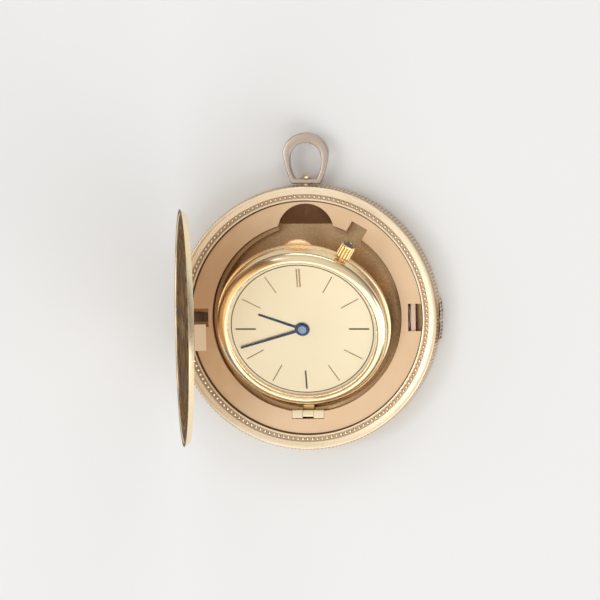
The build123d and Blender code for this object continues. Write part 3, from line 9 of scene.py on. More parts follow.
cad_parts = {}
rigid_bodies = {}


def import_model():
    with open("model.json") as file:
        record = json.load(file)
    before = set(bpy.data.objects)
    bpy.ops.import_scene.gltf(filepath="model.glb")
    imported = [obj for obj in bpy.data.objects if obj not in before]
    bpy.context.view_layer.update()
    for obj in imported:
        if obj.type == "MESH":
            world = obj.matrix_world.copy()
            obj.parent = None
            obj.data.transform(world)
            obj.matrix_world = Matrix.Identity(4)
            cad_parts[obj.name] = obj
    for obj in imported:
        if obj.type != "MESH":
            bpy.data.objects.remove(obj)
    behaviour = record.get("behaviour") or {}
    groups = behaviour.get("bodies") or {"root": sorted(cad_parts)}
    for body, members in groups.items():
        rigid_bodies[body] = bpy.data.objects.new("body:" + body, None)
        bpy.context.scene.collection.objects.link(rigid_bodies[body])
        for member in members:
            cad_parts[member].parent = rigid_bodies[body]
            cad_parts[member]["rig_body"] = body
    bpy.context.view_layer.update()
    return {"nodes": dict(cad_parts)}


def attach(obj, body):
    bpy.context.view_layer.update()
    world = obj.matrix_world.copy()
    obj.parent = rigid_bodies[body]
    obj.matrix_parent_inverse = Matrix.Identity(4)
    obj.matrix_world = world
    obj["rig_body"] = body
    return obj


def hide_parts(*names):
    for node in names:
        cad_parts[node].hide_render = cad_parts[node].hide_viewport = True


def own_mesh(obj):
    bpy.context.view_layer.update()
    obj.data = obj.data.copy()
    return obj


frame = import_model()


# Coin case. The coin's own back and edge in one piece of gold, turned out from the front to a thin wall. The
# edge is reeded, the rim is flat and polished by wear, and inside it runs a struck ring of beads.
# Sizes are in millimetres, from the middle of the coin's back, until a mesh is made.
MM = 0.001
coin_radius = 17.0
coin_height = 4.0
corner_cut = (0.1, 0.12)
bore_radius = 15.05
floor_level = 0.4
floor_seat = 0.1
lip_radius = 15.26
lip_rise = 0.03
lip_slope = 0.04
border_radius = 15.88
border_level = 3.78
step_radius = 16.32
step_depth = 0.05
back_radius = 15.5
back_field = 0.12
back_seat = 0.03
reed_count = 219
reed_steps = 8
reed_curve = 0.7
reed_ends = (0.24, 3.76)
reed_slope = (0.02, 0.04)
valley_radius = 16.84
wear_shade_low = 0.1
wear_shade_reach = 0.1
wear_shade_start = 0.06
wear_shade_margin = (0.02, 0.05)
bore_margin = 0.01
bore_lean = 0.5
ear_notch = ((-16.71, -1.13, 2.72), (-14.8, 1.13, 4.4))
button_notch = ((14.6, -3.23, 0.77), (17.6, 2.43, 3.23))
coin_axis = ((0, 0, 0), 0)


def eased(corners, radii, closed=False, steps=4):
    """Outline with rounded corners: each becomes the arc (1 - t)^2 a + 2t(1 - t) b + t^2 c.

    The arc starts and ends the corner's radius away from it, or 0.45 of the shorter side if that is less."""
    corners = np.asarray(corners, float)
    radii = np.broadcast_to(radii, len(corners)).astype(float)
    before = np.roll(corners, 1, 0) - corners
    after = np.roll(corners, -1, 0) - corners
    reach_before = np.linalg.norm(before, axis=1)
    reach_after = np.linalg.norm(after, axis=1)
    longest_cut = 0.45 * np.minimum(reach_before, reach_after)
    cut = np.minimum(radii, longest_cut)[:, None]
    start = corners + before / reach_before[:, None] * cut
    end = corners + after / reach_after[:, None] * cut
    t = np.linspace(0, 1, steps + 1)[None, :, None]
    arcs = (1 - t) ** 2 * start[:, None] + 2 * t * (1 - t) * corners[:, None] + t**2 * end[:, None]
    points = arcs.reshape(-1, 2)
    if closed:
        return points
    return np.vstack([corners[:1], points[steps + 1 : -(steps + 1)], corners[-1:]])


def turned(outline, steps):
    """Surface of a (radius, height) outline carried once round the axis: (r cos a, r sin a, h)."""
    angle = np.linspace(0, 2 * np.pi, steps, endpoint=False)[:, None]
    radius, height = np.asarray(outline, float).T
    return np.stack([radius * np.cos(angle), radius * np.sin(angle), height + 0 * angle], axis=-1)


def rectangle(low, high):
    """The four corners of a rectangle, counterclockwise from the low one."""
    return [(low[0], low[1]), (high[0], low[1]), (high[0], high[1]), (low[0], high[1])]


def stood(name, data):
    """A new object in the scene that holds a mesh, a light or a camera."""
    made = bpy.data.objects.new(name, data)
    bpy.context.scene.collection.objects.link(made)
    return made


def shell(name, sheets):
    """A closed mesh from sheets of points. Each point is joined to the next in its row and in the next row.

    A sheet is (points, closes over its rows, closes along its rows); seams and poles are then merged."""
    points = []
    quads = []
    start = 0
    for sheet, over_rows, along_rows in sheets:
        rows, columns = sheet.shape[:2]
        order = start + np.arange(rows * columns).reshape(rows, columns)
        start += rows * columns
        points.append(sheet.reshape(-1, 3))
        if over_rows:
            order = np.vstack([order, order[:1]])
        if along_rows:
            order = np.hstack([order, order[:, :1]])
        corners = (order[:-1, :-1], order[1:, :-1], order[1:, 1:], order[:-1, 1:])
        quads.append(np.stack(corners, axis=-1).reshape(-1, 4))
    points = np.concatenate(points) * MM
    quads = np.concatenate(quads)
    mesh = bpy.data.meshes.new(name)
    mesh.vertices.add(len(points))
    mesh.vertices.foreach_set("co", points.ravel())
    mesh.loops.add(quads.size)
    mesh.loops.foreach_set("vertex_index", quads.ravel())
    mesh.polygons.add(len(quads))
    mesh.polygons.foreach_set("loop_start", np.arange(0, quads.size, 4))
    mesh.update(calc_edges=True)
    mesh.validate()
    merged = bmesh.new()
    merged.from_mesh(mesh)
    bmesh.ops.remove_doubles(merged, verts=merged.verts, dist=1e-7)
    bmesh.ops.recalc_face_normals(merged, faces=merged.faces)
    merged.to_mesh(mesh)
    merged.free()
    return stood(name, mesh)


def fitted(made, body, finish, sharp=35):
    """Gives a made piece its finish, smooth shading up to an angle, and the body that it moves with."""
    mesh = made.data
    mesh.materials.clear()
    mesh.materials.append(finish)
    mesh.polygons.foreach_set("use_smooth", np.ones(len(mesh.polygons), bool))
    mesh.set_sharp_from_angle(angle=math.radians(sharp))
    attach(made, body)


def carved(made, *tools):
    """Takes the solid of each tool out of a piece, as a mill does, and throws the tools away."""
    for tool in tools:
        step = made.modifiers.new("cut", "BOOLEAN")
        step.operation = "DIFFERENCE"
        step.solver = "MANIFOLD"
        step.object = tool
    bpy.context.view_layer.update()
    whole = made.evaluated_get(bpy.context.evaluated_depsgraph_get())
    made.data = bpy.data.meshes.new_from_object(whole)
    made.modifiers.clear()
    for tool in tools:
        bpy.data.objects.remove(tool)


def prism(outline, low, high):
    """Straight-sided solid over a flat outline: its middle, the outline low, the outline high, its middle."""
    outline = np.asarray(outline, float)
    middle = np.broadcast_to(outline.mean(0), outline.shape)
    rings = [(middle, low), (outline, low), (outline, high), (middle, high)]
    return np.stack([np.column_stack([ring, np.full(len(ring), level)]) for ring, level in rings])


def marked(made, formula):
    """Writes a formula of each corner's x, y, z in millimetres on a mesh, cut to 0 to 1, as its relief."""
    points = np.empty(len(made.data.vertices) * 3)
    made.data.vertices.foreach_get("co", points)
    rise = formula(*(points.reshape(-1, 3) / MM).T)
    made.data.attributes.new("relief", "FLOAT", "POINT").data.foreach_set("value", np.clip(rise, 0, 1))


def refinished(made, finish, chosen):
    """Gives another finish to the faces that a test picks by their middles, in millimetres, and normals."""
    faces = made.data.polygons
    middles, normals = np.empty(len(faces) * 3), np.empty(len(faces) * 3)
    slots = np.empty(len(faces), np.int32)
    faces.foreach_get("center", middles)
    faces.foreach_get("normal", normals)
    faces.foreach_get("material_index", slots)
    slots[chosen(middles.reshape(-1, 3).T / MM, normals.reshape(-1, 3).T)] = len(made.data.materials)
    made.data.materials.append(finish)
    faces.foreach_set("material_index", slots)


def block(name, low, high):
    """A plain cutter between two corners."""
    return shell(name, [(prism(rectangle(low[:2], high[:2]), low[2], high[2]), False, True)])


def dips(phase, curve):
    """How deep a reeded edge is cut: |sin(phase)|^curve, 0 at the crests and 1 in each valley."""
    return np.abs(np.sin(phase)) ** curve


def wire(material, *links):
    """Joins sockets in a material's node tree, each link from an output to an input."""
    for output, entry in links:
        material.node_tree.links.new(output, entry)


turn_reach = 0.0012
# Share of the deep tone kept in the lowest hollows of a relief: a painted shade.
hollow_shade_tone = (0.42, 0.34, 0.26)


def metal(name, light, deep, roughness, grain, relief, stretch=(1, 1, 1), ring=None, wear_and_shade=None, patch=140):
    """A metal with patches of two tones, uneven gloss and a fine worked grain.

    grain is the noise's scale per metre and relief its height in metres; stretch draws it out into brushing.
    ring is (origin, tilt in degrees): the grain then runs in circles round that axis, as a lathe leaves it,
    and one radian round it draws the pattern out by turn_reach metres.
    A height attribute of the mesh, when one is named, sets a painted shade: hollows are darkened towards the
    deep tone times a shade factor, and high places keep the plain tone, as worn bright."""
    material = bpy.data.materials.new(name)
    material.use_nodes = True
    nodes = material.node_tree.nodes
    shader = nodes["Principled BSDF"]
    shader.inputs["Metallic"].default_value = 1.0
    place = nodes.new("ShaderNodeTexCoord").outputs["Object"]
    pattern = place
    if ring:
        origin, tilt = ring
        frame_in = nodes.new("ShaderNodeMapping")
        frame_in.vector_type = "TEXTURE"
        frame_in.inputs["Location"].default_value = origin
        frame_in.inputs["Rotation"].default_value = (math.radians(tilt), 0, 0)
        split = nodes.new("ShaderNodeSeparateXYZ")
        turn = nodes.new("ShaderNodeMath")
        turn.operation = "ARCTAN2"
        flat = nodes.new("ShaderNodeCombineXYZ")
        reach = nodes.new("ShaderNodeVectorMath")
        reach.operation = "LENGTH"
        polar = nodes.new("ShaderNodeCombineXYZ")
        narrow = nodes.new("ShaderNodeMath")
        narrow.operation = "MULTIPLY"
        narrow.inputs[1].default_value = turn_reach
        wire(
            material,
            (place, frame_in.inputs["Vector"]),
            (frame_in.outputs[0], split.inputs[0]),
            (split.outputs["Y"], turn.inputs[0]),
            (split.outputs["X"], turn.inputs[1]),
            (split.outputs["X"], flat.inputs["X"]),
            (split.outputs["Y"], flat.inputs["Y"]),
            (flat.outputs[0], reach.inputs[0]),
            (reach.outputs["Value"], polar.inputs["X"]),
            (turn.outputs[0], narrow.inputs[0]),
            (narrow.outputs[0], polar.inputs["Y"]),
            (split.outputs["Z"], polar.inputs["Z"]),
        )
        pattern = polar.outputs[0]
    drawn = nodes.new("ShaderNodeMapping")
    drawn.inputs["Scale"].default_value = stretch
    fine = nodes.new("ShaderNodeTexNoise")
    fine.inputs["Scale"].default_value = grain
    fine.inputs["Detail"].default_value = 3.0
    cloud = nodes.new("ShaderNodeTexNoise")
    cloud.inputs["Scale"].default_value = patch
    cloud.inputs["Detail"].default_value = 4.0
    tone = nodes.new("ShaderNodeMix")
    tone.data_type = "RGBA"
    tone.inputs[6].default_value = (*light, 1)
    tone.inputs[7].default_value = (*deep, 1)
    spread = nodes.new("ShaderNodeMapRange")
    spread.inputs["From Min"].default_value = 0.35
    spread.inputs["From Max"].default_value = 0.7
    gloss = nodes.new("ShaderNodeMapRange")
    gloss.inputs["From Min"].default_value = 0.3
    gloss.inputs["From Max"].default_value = 0.75
    gloss.inputs["To Min"].default_value = roughness[0]
    gloss.inputs["To Max"].default_value = roughness[1]
    bump = nodes.new("ShaderNodeBump")
    bump.inputs["Strength"].default_value = 1.0
    bump.inputs["Distance"].default_value = relief
    wire(
        material,
        (pattern, drawn.inputs["Vector"]),
        (drawn.outputs[0], fine.inputs["Vector"]),
        (place, cloud.inputs["Vector"]),
        (cloud.outputs["Fac"], spread.inputs["Value"]),
        (spread.outputs["Result"], tone.inputs[0]),
        (fine.outputs["Fac"], gloss.inputs["Value"]),
        (gloss.outputs["Result"], shader.inputs["Roughness"]),
        (fine.outputs["Fac"], bump.inputs["Height"]),
        (bump.outputs["Normal"], shader.inputs["Normal"]),
    )
    colour = tone.outputs[2]
    # Painted shade in the hollows of a relief; its high places keep the plain tone.
    if wear_and_shade:
        height = nodes.new("ShaderNodeAttribute")
        height.attribute_name = wear_and_shade
        rub_and_shade = nodes.new("ShaderNodeMix")
        rub_and_shade.data_type = "RGBA"
        rub_and_shade.inputs[6].default_value = (*(np.array(deep) * hollow_shade_tone), 1)
        wire(material, (height.outputs["Fac"], rub_and_shade.inputs[0]), (colour, rub_and_shade.inputs[7]))
        colour = rub_and_shade.outputs[2]
    wire(material, (colour, shader.inputs["Base Color"]))
    return material


coin_gold = metal(
    "coin_gold",
    light=(1.0, 0.84, 0.63),
    deep=(0.94, 0.75, 0.52),
    roughness=(0.24, 0.38),
    grain=5200,
    relief=1.4e-6,
    ring=coin_axis,
    wear_and_shade="relief",
)
# Gold inside the head's pocket: the coin's own gold given a dark brown tone, a painted shade in the recess
# under the watch head.
pocket_shade_gold = metal(
    "pocket_shade_gold",
    light=(0.54, 0.36, 0.2),
    deep=(0.38, 0.24, 0.125),
    roughness=(0.24, 0.36),
    grain=2400,
    relief=4e-7,
)
rim_edges = [0, 0.03, 0, 0, 0.03, 0.05, 0.02, 0.02, 0.06, 0.06]
rim_edges += [0.02, 0.03, 0, 0.03, 0.02, 0.06, 0.06, 0.04, 0, 0]
rim_outline = eased(
    [
        (bore_radius, floor_level - floor_seat),
        (bore_radius, border_level + lip_rise),
        (lip_radius, border_level + lip_rise),
        (lip_radius + lip_slope, border_level),
        (border_radius, border_level),
        (border_radius, coin_height - step_depth),
        (step_radius, coin_height - step_depth),
        (step_radius, coin_height),
        (valley_radius - corner_cut[0], coin_height),
        (valley_radius, coin_height - corner_cut[1]),
        (valley_radius, reed_ends[1] + reed_slope[1]),
        (coin_radius, reed_ends[1] - reed_slope[0]),
        (coin_radius, coin_height / 2),
        (coin_radius, reed_ends[0] + reed_slope[0]),
        (valley_radius, reed_ends[0] - reed_slope[1]),
        (valley_radius, corner_cut[1]),
        (valley_radius - corner_cut[0], 0),
        (back_radius, 0),
        (back_radius, back_field + back_seat),
        (bore_radius, back_field + back_seat),
    ],
    radii=rim_edges,
    closed=True,
    steps=2,
)
rim = turned(rim_outline, reed_count * reed_steps)
reed_dip = dips(np.pi * (np.arange(reed_count * reed_steps) / reed_steps), reed_curve)
outward = np.clip((rim_outline[:, 0] - valley_radius) / (coin_radius - valley_radius), 0, 1)
shrink = 1 - (reed_dip[:, None] * outward) * (coin_radius - valley_radius) / coin_radius
rim[..., :2] *= shrink[..., None]
coin_rim = shell("coin_rim", [(rim, True, True)])
carved(coin_rim, block("ear_notch", *ear_notch), block("button_notch", *button_notch))


def reed_relief(radius, valley):
    """Relief over the reeds: lowest in their valleys, where it sets a painted shade, and rising evenly to 1
    towards their crests.
    """
    return wear_shade_low + (1 - wear_shade_low) * (radius - valley) / wear_shade_reach


def rim_relief(x, y, z):
    """Low in the sunk border and at the foot of each reed, where it sets a painted shade, and high on the
    flat rim and the reeds' crests.
    """
    radius = np.hypot(x, y)
    rise = (z - border_level + wear_shade_start) / (coin_height - border_level)
    sunk = (radius < border_radius + wear_shade_margin[1]) & (radius >= lip_radius + wear_shade_margin[0])
    border = np.where(sunk, rise, 1)
    reeds = np.where(radius > valley_radius - wear_shade_margin[0], reed_relief(radius, valley_radius), 1)
    return np.minimum(border, reeds)


def in_bore(middle, normal):
    """The faces of the bore: those at its radius or within it that are more upright than flat."""
    return (np.hypot(*middle[:2]) < bore_radius + bore_margin) & (abs(normal[2]) < bore_lean)


marked(coin_rim, rim_relief)
fitted(coin_rim, "case", coin_gold)
# The bore's upright wall is painted in shade.
refinished(coin_rim, pocket_shade_gold, in_bore)
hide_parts("coin_case")


# Ring of beads. Small domes of the coin's own gold, struck with it, stand side by side on the sunk border.
# Their tops are worn bright, and the hollows between them are darkened by a painted shade.
bead_count = 156
bead_radius = 0.21
bead_ring = 15.56
bead_root = -0.35
bead_steps = (10, 6)
bead_wear_shade = 0.8
bead_gold = metal(
    "bead_gold",
    light=(1.0, 0.9, 0.74),
    deep=(0.98, 0.84, 0.66),
    roughness=(0.14, 0.22),
    grain=2600,
    relief=4e-7,
    wear_and_shade="relief",
)
bead_turn = np.linspace(0, 2 * np.pi, bead_steps[0], endpoint=False)[:, None]
bead_rise = np.linspace(bead_root, np.pi / 2, bead_steps[1])
bead_reach = np.cos(bead_rise)
bead = np.stack(
    [bead_reach * np.cos(bead_turn), bead_reach * np.sin(bead_turn), np.sin(bead_rise) + 0 * bead_turn],
    axis=-1,
)
bead_way = 2 * np.pi * np.arange(bead_count) / bead_count
bead_places = bead_ring * np.column_stack([np.cos(bead_way), np.sin(bead_way), 0 * bead_way])
bead_places[:, 2] = border_level
beads = shell("rim_beads", [(place + bead_radius * bead, True, False) for place in bead_places])
# Relief: high on the beads' tops and low at their feet, where a painted shade darkens them.
marked(beads, lambda x, y, z: (z - border_level + wear_shade_margin[0]) / (bead_wear_shade * bead_radius))
fitted(beads, "case", bead_gold, sharp=60)
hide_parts("coin_case")


# Struck back. The coin's back between its rims: a wreath of leaves and a ring of pellets round a rosette, a
# plain ornament struck in low relief. Sizes named shares are parts of the radius that it fills.
disc_share = 0.13
disc_slope = 0.08
disc_groove = (0.7, 0.35, 0.09)
petal_count = 8
petal_shares = (0.323, 0.143, 0.081)
petal_vein = 0.45
leaf_count = 24
leaf_shares = (0.72, 0.054, 0.085, 0.034)
leaf_lean = 62
leaf_vein = 0.4
vein_half = 0.16
stem_half = 0.16
stem_rise = 0.7
pellet_count = 48
pellet_shares = (0.88, 0.02)
flat_top = 1.25


def oval_height(x, y, count, reach, length, width, lean, vein):
    """Height of ovals set round the middle: the root of 1 - d^2, raised and cut at 1, less a fine groove.

    d is the distance in half lengths and half widths, and every copy is folded onto the first."""
    sector = 2 * np.pi / count
    way = (np.arctan2(y, x) + sector / 2) % sector - sector / 2
    radius = np.hypot(x, y)
    along = radius * np.cos(way) - reach
    across = radius * np.sin(way)
    lean = math.radians(lean)
    u = (along * math.cos(lean) + across * math.sin(lean)) / length
    v = (across * math.cos(lean) - along * math.sin(lean)) / width
    dome = np.sqrt(np.clip(1 - u**2 - v**2, 0, 1))
    return np.clip(dome * flat_top, 0, 1) * (1 - vein * np.exp(-((v / vein_half) ** 2)))


def struck_height(x, y, radius):
    """Height of the struck design, 0 in the field and 1 at its top: disc, petals, leaves and pellets."""
    leaf_reach, leaf_spread, leaf_length, leaf_width = (share * radius for share in leaf_shares)
    petal_reach, petal_length, petal_width = (share * radius for share in petal_shares)
    pellet_reach, pellet_size = (share * radius for share in pellet_shares)
    groove_reach, groove_depth, groove_half = disc_groove
    across = np.hypot(x, y)
    disc = np.clip((disc_share * radius - across) / disc_slope, 0, 1)
    disc *= 1 - groove_depth * np.exp(-(((across - groove_reach * disc_share * radius) / groove_half) ** 2))
    petals = oval_height(x, y, petal_count, petal_reach, petal_length, petal_width, 0, petal_vein)
    leaf = (leaf_length, leaf_width)
    outer = oval_height(x, y, leaf_count, leaf_reach + leaf_spread, *leaf, leaf_lean, leaf_vein)
    inner = oval_height(x, y, leaf_count, leaf_reach - leaf_spread, *leaf, -leaf_lean, leaf_vein)
    stem = stem_rise * np.clip(1 - np.abs(across - leaf_reach) / stem_half, 0, 1)
    pellets = oval_height(x, y, pellet_count, pellet_reach, pellet_size, pellet_size, 0, 0)
    return np.max([disc, petals, outer, inner, stem, pellets], axis=0)


def struck_sheet(radius, reach, rows, columns):
    """Flat polar sheet of (x, y, height of the design) out to a reach, for a design of some radius."""
    across = np.linspace(0, reach, rows)[:, None]
    angle = np.linspace(0, 2 * np.pi, columns, endpoint=False)
    x, y = across * np.cos(angle), across * np.sin(angle)
    return np.stack([x, y, struck_height(x, y, radius)], axis=-1)


floor_shoulder = 0.3
back_steps = (104, 720)
back_wear_shade = 1.6
floor_facing = 0.9
struck_gold = metal(
    "struck_gold",
    light=(0.95, 0.7, 0.42),
    deep=(0.82, 0.56, 0.31),
    roughness=(0.2, 0.36),
    grain=6500,
    relief=1.5e-6,
    wear_and_shade="relief",
)
back = struck_sheet(back_radius, back_radius, *back_steps)
back[..., 2] = back_field * (1 - back[..., 2])
floor_outline = [(back_radius, back_field), (back_radius, floor_shoulder)]
floor_outline += [(bore_radius, floor_level), (0, floor_level)]
floor_sheet = np.swapaxes(turned(floor_outline, back_steps[1]), 0, 1)
coin_back = shell("coin_back", [(np.concatenate([back, floor_sheet]), False, True)])
# Relief: the struck design stands high and the field lies low, where a painted shade darkens it.
marked(coin_back, lambda x, y, z: 1 - z / (back_wear_shade * back_field))
fitted(coin_back, "case", struck_gold, sharp=60)
# The back's inner floor, at the bottom of the pocket, is painted in shade.
refinished(coin_back, pocket_shade_gold, lambda middle, normal: normal[2] > floor_facing)
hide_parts("coin_case")


# Inner frame. A ring of gold seated in the coin: its satin top is the floor round the watch head. It is cut
# for the head's pocket, the thumb scoop at 12, the crown, the catch at 3 and the hinges at 9 and 6.
floor_top = 3.25
floor_skin = 0.12
scoop_start = 11.5
scoop_half = 3.7
scoop_slope = 0.3
edge_angle = 28
satin_gold = metal(
    "satin_gold",
    light=(0.93, 0.68, 0.45),
    deep=(0.84, 0.59, 0.37),
    roughness=(0.3, 0.46),
    grain=5000,
    relief=2.2e-6,
    ring=coin_axis,
    patch=90,
)
scoop_gold = metal(
    "scoop_gold",
    light=(0.9, 0.6, 0.38),
    deep=(0.76, 0.5, 0.3),
    roughness=(0.42, 0.58),
    grain=3200,
    relief=1.4e-6,
)


def broken_edges(made, width):
    """Breaks a piece's sharp edges by a fine bevel, as a file does."""
    bevel = made.modifiers.new("edge", "BEVEL")
    bevel.width = width * MM
    bevel.segments = 2
    bevel.limit_method = "ANGLE"
    bevel.angle_limit = math.radians(edge_angle)
    bevel.harden_normals = True


def softened(node, finish, width=0.02):
    """A copy of a CAD node with its seams merged, its flats whole, and its edges broken by a width."""
    body = frame["nodes"][node]["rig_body"]
    mesh = frame["nodes"][node].data.copy()
    whole = bmesh.new()
    whole.from_mesh(mesh)
    bmesh.ops.remove_doubles(whole, verts=whole.verts, dist=1e-6)
    bmesh.ops.dissolve_limit(whole, angle_limit=math.radians(0.5), verts=whole.verts, edges=whole.edges)
    whole.to_mesh(mesh)
    whole.free()
    made = stood(node + "_finished", mesh)
    fitted(made, body, finish, sharp=edge_angle)
    broken_edges(made, width)
    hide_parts(node)
    return made


def in_scoop(middle, normal):
    """The faces of the thumb scoop: at its place by 12 o'clock, and sloping both up and back to the head."""
    place = (middle[1] > scoop_start) & (abs(middle[0]) < scoop_half)
    return place & (normal[1] < -scoop_slope) & (normal[2] > scoop_slope)


inner_frame = softened("inner_frame", satin_gold, width=0.04)
# The frame's faces below its top, down in the pocket and its slots, are painted in shade.
refinished(inner_frame, pocket_shade_gold, lambda middle, normal: middle[2] < floor_top - floor_skin)
refinished(inner_frame, scoop_gold, in_scoop)


# Seam round the floor. The ring is chamfered where it meets the coin's bore, and the seam is a dark line of
# painted shade at the foot of the bore's wall.
seam_radii = (14.86, 15.03)
seam_sunk = 0.02
seam_proud = (0.004, 0.012)
seam_gap = (ear_notch[0], (-13.8, *ear_notch[1][1:]))
seam_shade_gold = metal(
    "seam_shade_gold",
    light=(0.2, 0.125, 0.065),
    deep=(0.13, 0.08, 0.04),
    roughness=(0.4, 0.6),
    grain=3000,
    relief=6e-7,
)
seam_outline = [(radius, floor_top - seam_sunk) for radius in seam_radii]
seam_outline += [(seam_radii[1], floor_top + seam_proud[1]), (seam_radii[0], floor_top + seam_proud[0])]
seam = shell("frame_seam", [(turned(seam_outline, steps=360), True, True)])
carved(seam, block("seam_gap", *seam_gap))
fitted(seam, "case", seam_shade_gold)


# Hinge pin and lift spring of the lid, at 9 o'clock. A ground steel pin runs across the notch in the rim. A
# thin steel leaf on the slot's floor starts the lid open when the catch lets go.
ground_steel = metal(
    "ground_steel",
    light=(0.62, 0.61, 0.6),
    deep=(0.5, 0.49, 0.48),
    roughness=(0.2, 0.34),
    grain=3000,
    relief=8e-7,
    stretch=(1, 12, 1),
)
# The lift spring's dark brown steel is a painted shade of the deep slot that it lies in.
slot_shade_steel = metal(
    "slot_shade_steel",
    light=(0.2, 0.14, 0.1),
    deep=(0.13, 0.09, 0.065),
    roughness=(0.3, 0.45),
    grain=3000,
    relief=6e-7,
)
softened("lid_hinge_pin", ground_steel)
softened("lid_lift_spring", slot_shade_steel, width=0.01)


# Catch at 3 o'clock. The button is a reeded piece of the coin's edge that stands a little proud. It pushes a
# flat slider, whose inner bar holds the lid's hook, against a bowed spring that flattens as it gives way.
button_radius = 17.3
button_inner = 15.5
button_sides = (-3.2, 2.4)
button_levels = (0.8, 3.2)
button_edge = 0.04
button_steps = 120
button_valley = button_radius - coin_radius + valley_radius
brushed_gold = metal(
    "brushed_gold",
    light=(0.93, 0.68, 0.5),
    deep=(0.82, 0.56, 0.4),
    roughness=(0.28, 0.4),
    grain=3600,
    relief=1.4e-6,
    stretch=(14, 1, 1),
)
catch_spring = softened("catch_spring", ground_steel, width=0.01)
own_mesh(catch_spring)
softened("catch_slider", brushed_gold)
button_ends = np.arcsin(np.array(button_sides) / button_radius)
button_way = np.linspace(*button_ends, button_steps)
button_dip = dips(button_way * reed_count / 2, reed_curve)
button_reach = button_radius - (coin_radius - valley_radius) * button_dip
button_face = np.column_stack([button_reach * np.cos(button_way), button_reach * np.sin(button_way)])
button_face[:, 1] = np.clip(button_face[:, 1], *button_sides)
button_corners = [(button_inner, button_sides[1]), (button_inner, button_sides[0])]
button_flat = prism(np.vstack([button_face, button_corners]), *button_levels)
# At each flat the outline is doubled: one ring is drawn in and the other moved off, to break the edge.
button_rings = button_flat[[0, 1, 1, 2, 2, 3]]
button_rings[[1, 4], :, :2] += button_edge / 2 * (button_flat[0, 0, :2] - button_rings[[1, 4], :, :2])
button_rings[2, :, 2] += button_edge
button_rings[3, :, 2] -= button_edge
button = shell("button_reeded", [(button_rings, False, True)])
# The button's reed valleys are low in relief, for the same painted shade as the coin's edge.
marked(button, lambda x, y, z: reed_relief(np.hypot(x, y), button_valley))
fitted(button, frame["nodes"]["push_button"]["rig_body"], coin_gold)
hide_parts("push_button")


# Bail at 12 o'clock. A flat stirrup in one piece of a greyer gold, worn soft at its edges. Its foot swivels
# on the post in the coin's edge.
bail_middle = 2.0
bail_edge = 0.17
bail_half_height = 0.6
bail_outer = ((1.85, 17.08), (2.6, 19.155), (2.95, 21.23), 23.64)
bail_inner = ((1.37, 17.74), (1.9, 18.99), (2.03, 20.24), 22.34)
bail_steps = (14, 28, 60)
bail_edge_steps = 5


def arc(start, through, end, steps):
    """Points of the circle through three points, from the first to the last, evenly spaced by angle."""
    ax, ay = start
    bx, by = through
    cx, cy = end
    d = 2 * (ax * (by - cy) + bx * (cy - ay) + cx * (ay - by))
    a2, b2, c2 = ax**2 + ay**2, bx**2 + by**2, cx**2 + cy**2
    x = (a2 * (by - cy) + b2 * (cy - ay) + c2 * (ay - by)) / d
    y = (a2 * (cx - bx) + b2 * (ax - cx) + c2 * (bx - ax)) / d
    first = math.atan2(ay - y, ax - x)
    sweep = (math.atan2(cy - y, cx - x) - first) % (2 * math.pi)
    if (math.atan2(by - y, bx - x) - first) % (2 * math.pi) > sweep:
        sweep -= 2 * math.pi
    turn = first + np.linspace(0, sweep, steps, endpoint=False)
    radius = math.hypot(ax - x, ay - y)
    return np.column_stack([x + radius * np.cos(turn), y + radius * np.sin(turn)])


def stirrup(foot, side, shoulder, top):
    """Closed line of a stirrup: foot, bulged side, one arc over the top, and the other side."""
    foot_steps, side_steps, top_steps = bail_steps
    foot_way = np.linspace(-foot[0], foot[0], foot_steps, endpoint=False)
    foot_line = np.column_stack([foot_way, np.full(foot_steps, foot[1])])
    up = arc(foot, side, shoulder, side_steps)
    over = arc(shoulder, (0, top), (-shoulder[0], shoulder[1]), top_steps)
    down = arc((-shoulder[0], shoulder[1]), (-side[0], side[1]), (-foot[0], foot[1]), side_steps)
    return np.vstack([foot_line, up, over, down])


def loop_between(inner, outer, half, edge):
    """Flat loop between two lines, with rounded edges: a rounded rectangle carried round them."""
    turn = np.linspace(0, np.pi / 2, bail_edge_steps)
    near, far = edge * (1 - np.sin(turn)), edge * (1 - np.cos(turn))
    inset = np.concatenate([near, far, near, far])
    height = np.concatenate([-half + far, half - near, half - far, -half + near])
    on_outer = np.repeat([1, 1, 0, 0], bail_edge_steps)
    across = outer - inner
    across /= np.linalg.norm(across, axis=1)[:, None]
    base = np.where(on_outer[None, :, None], outer[:, None], inner[:, None])
    sign = np.where(on_outer, -1, 1)
    flat = base + across[:, None] * (sign * inset)[None, :, None]
    return np.concatenate([flat, np.broadcast_to(height[None, :, None], (*flat.shape[:2], 1))], axis=-1)


bail_gold = metal(
    "bail_gold",
    light=(0.57, 0.475, 0.395),
    deep=(0.49, 0.4, 0.33),
    roughness=(0.26, 0.36),
    grain=1500,
    relief=3e-7,
)
bail_sheet = loop_between(stirrup(*bail_inner), stirrup(*bail_outer), bail_half_height, bail_edge)
bail_sheet[..., 2] += bail_middle
bail = shell("bail_loop", [(bail_sheet, True, True)])
fitted(bail, "bail", bail_gold)
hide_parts("bail")


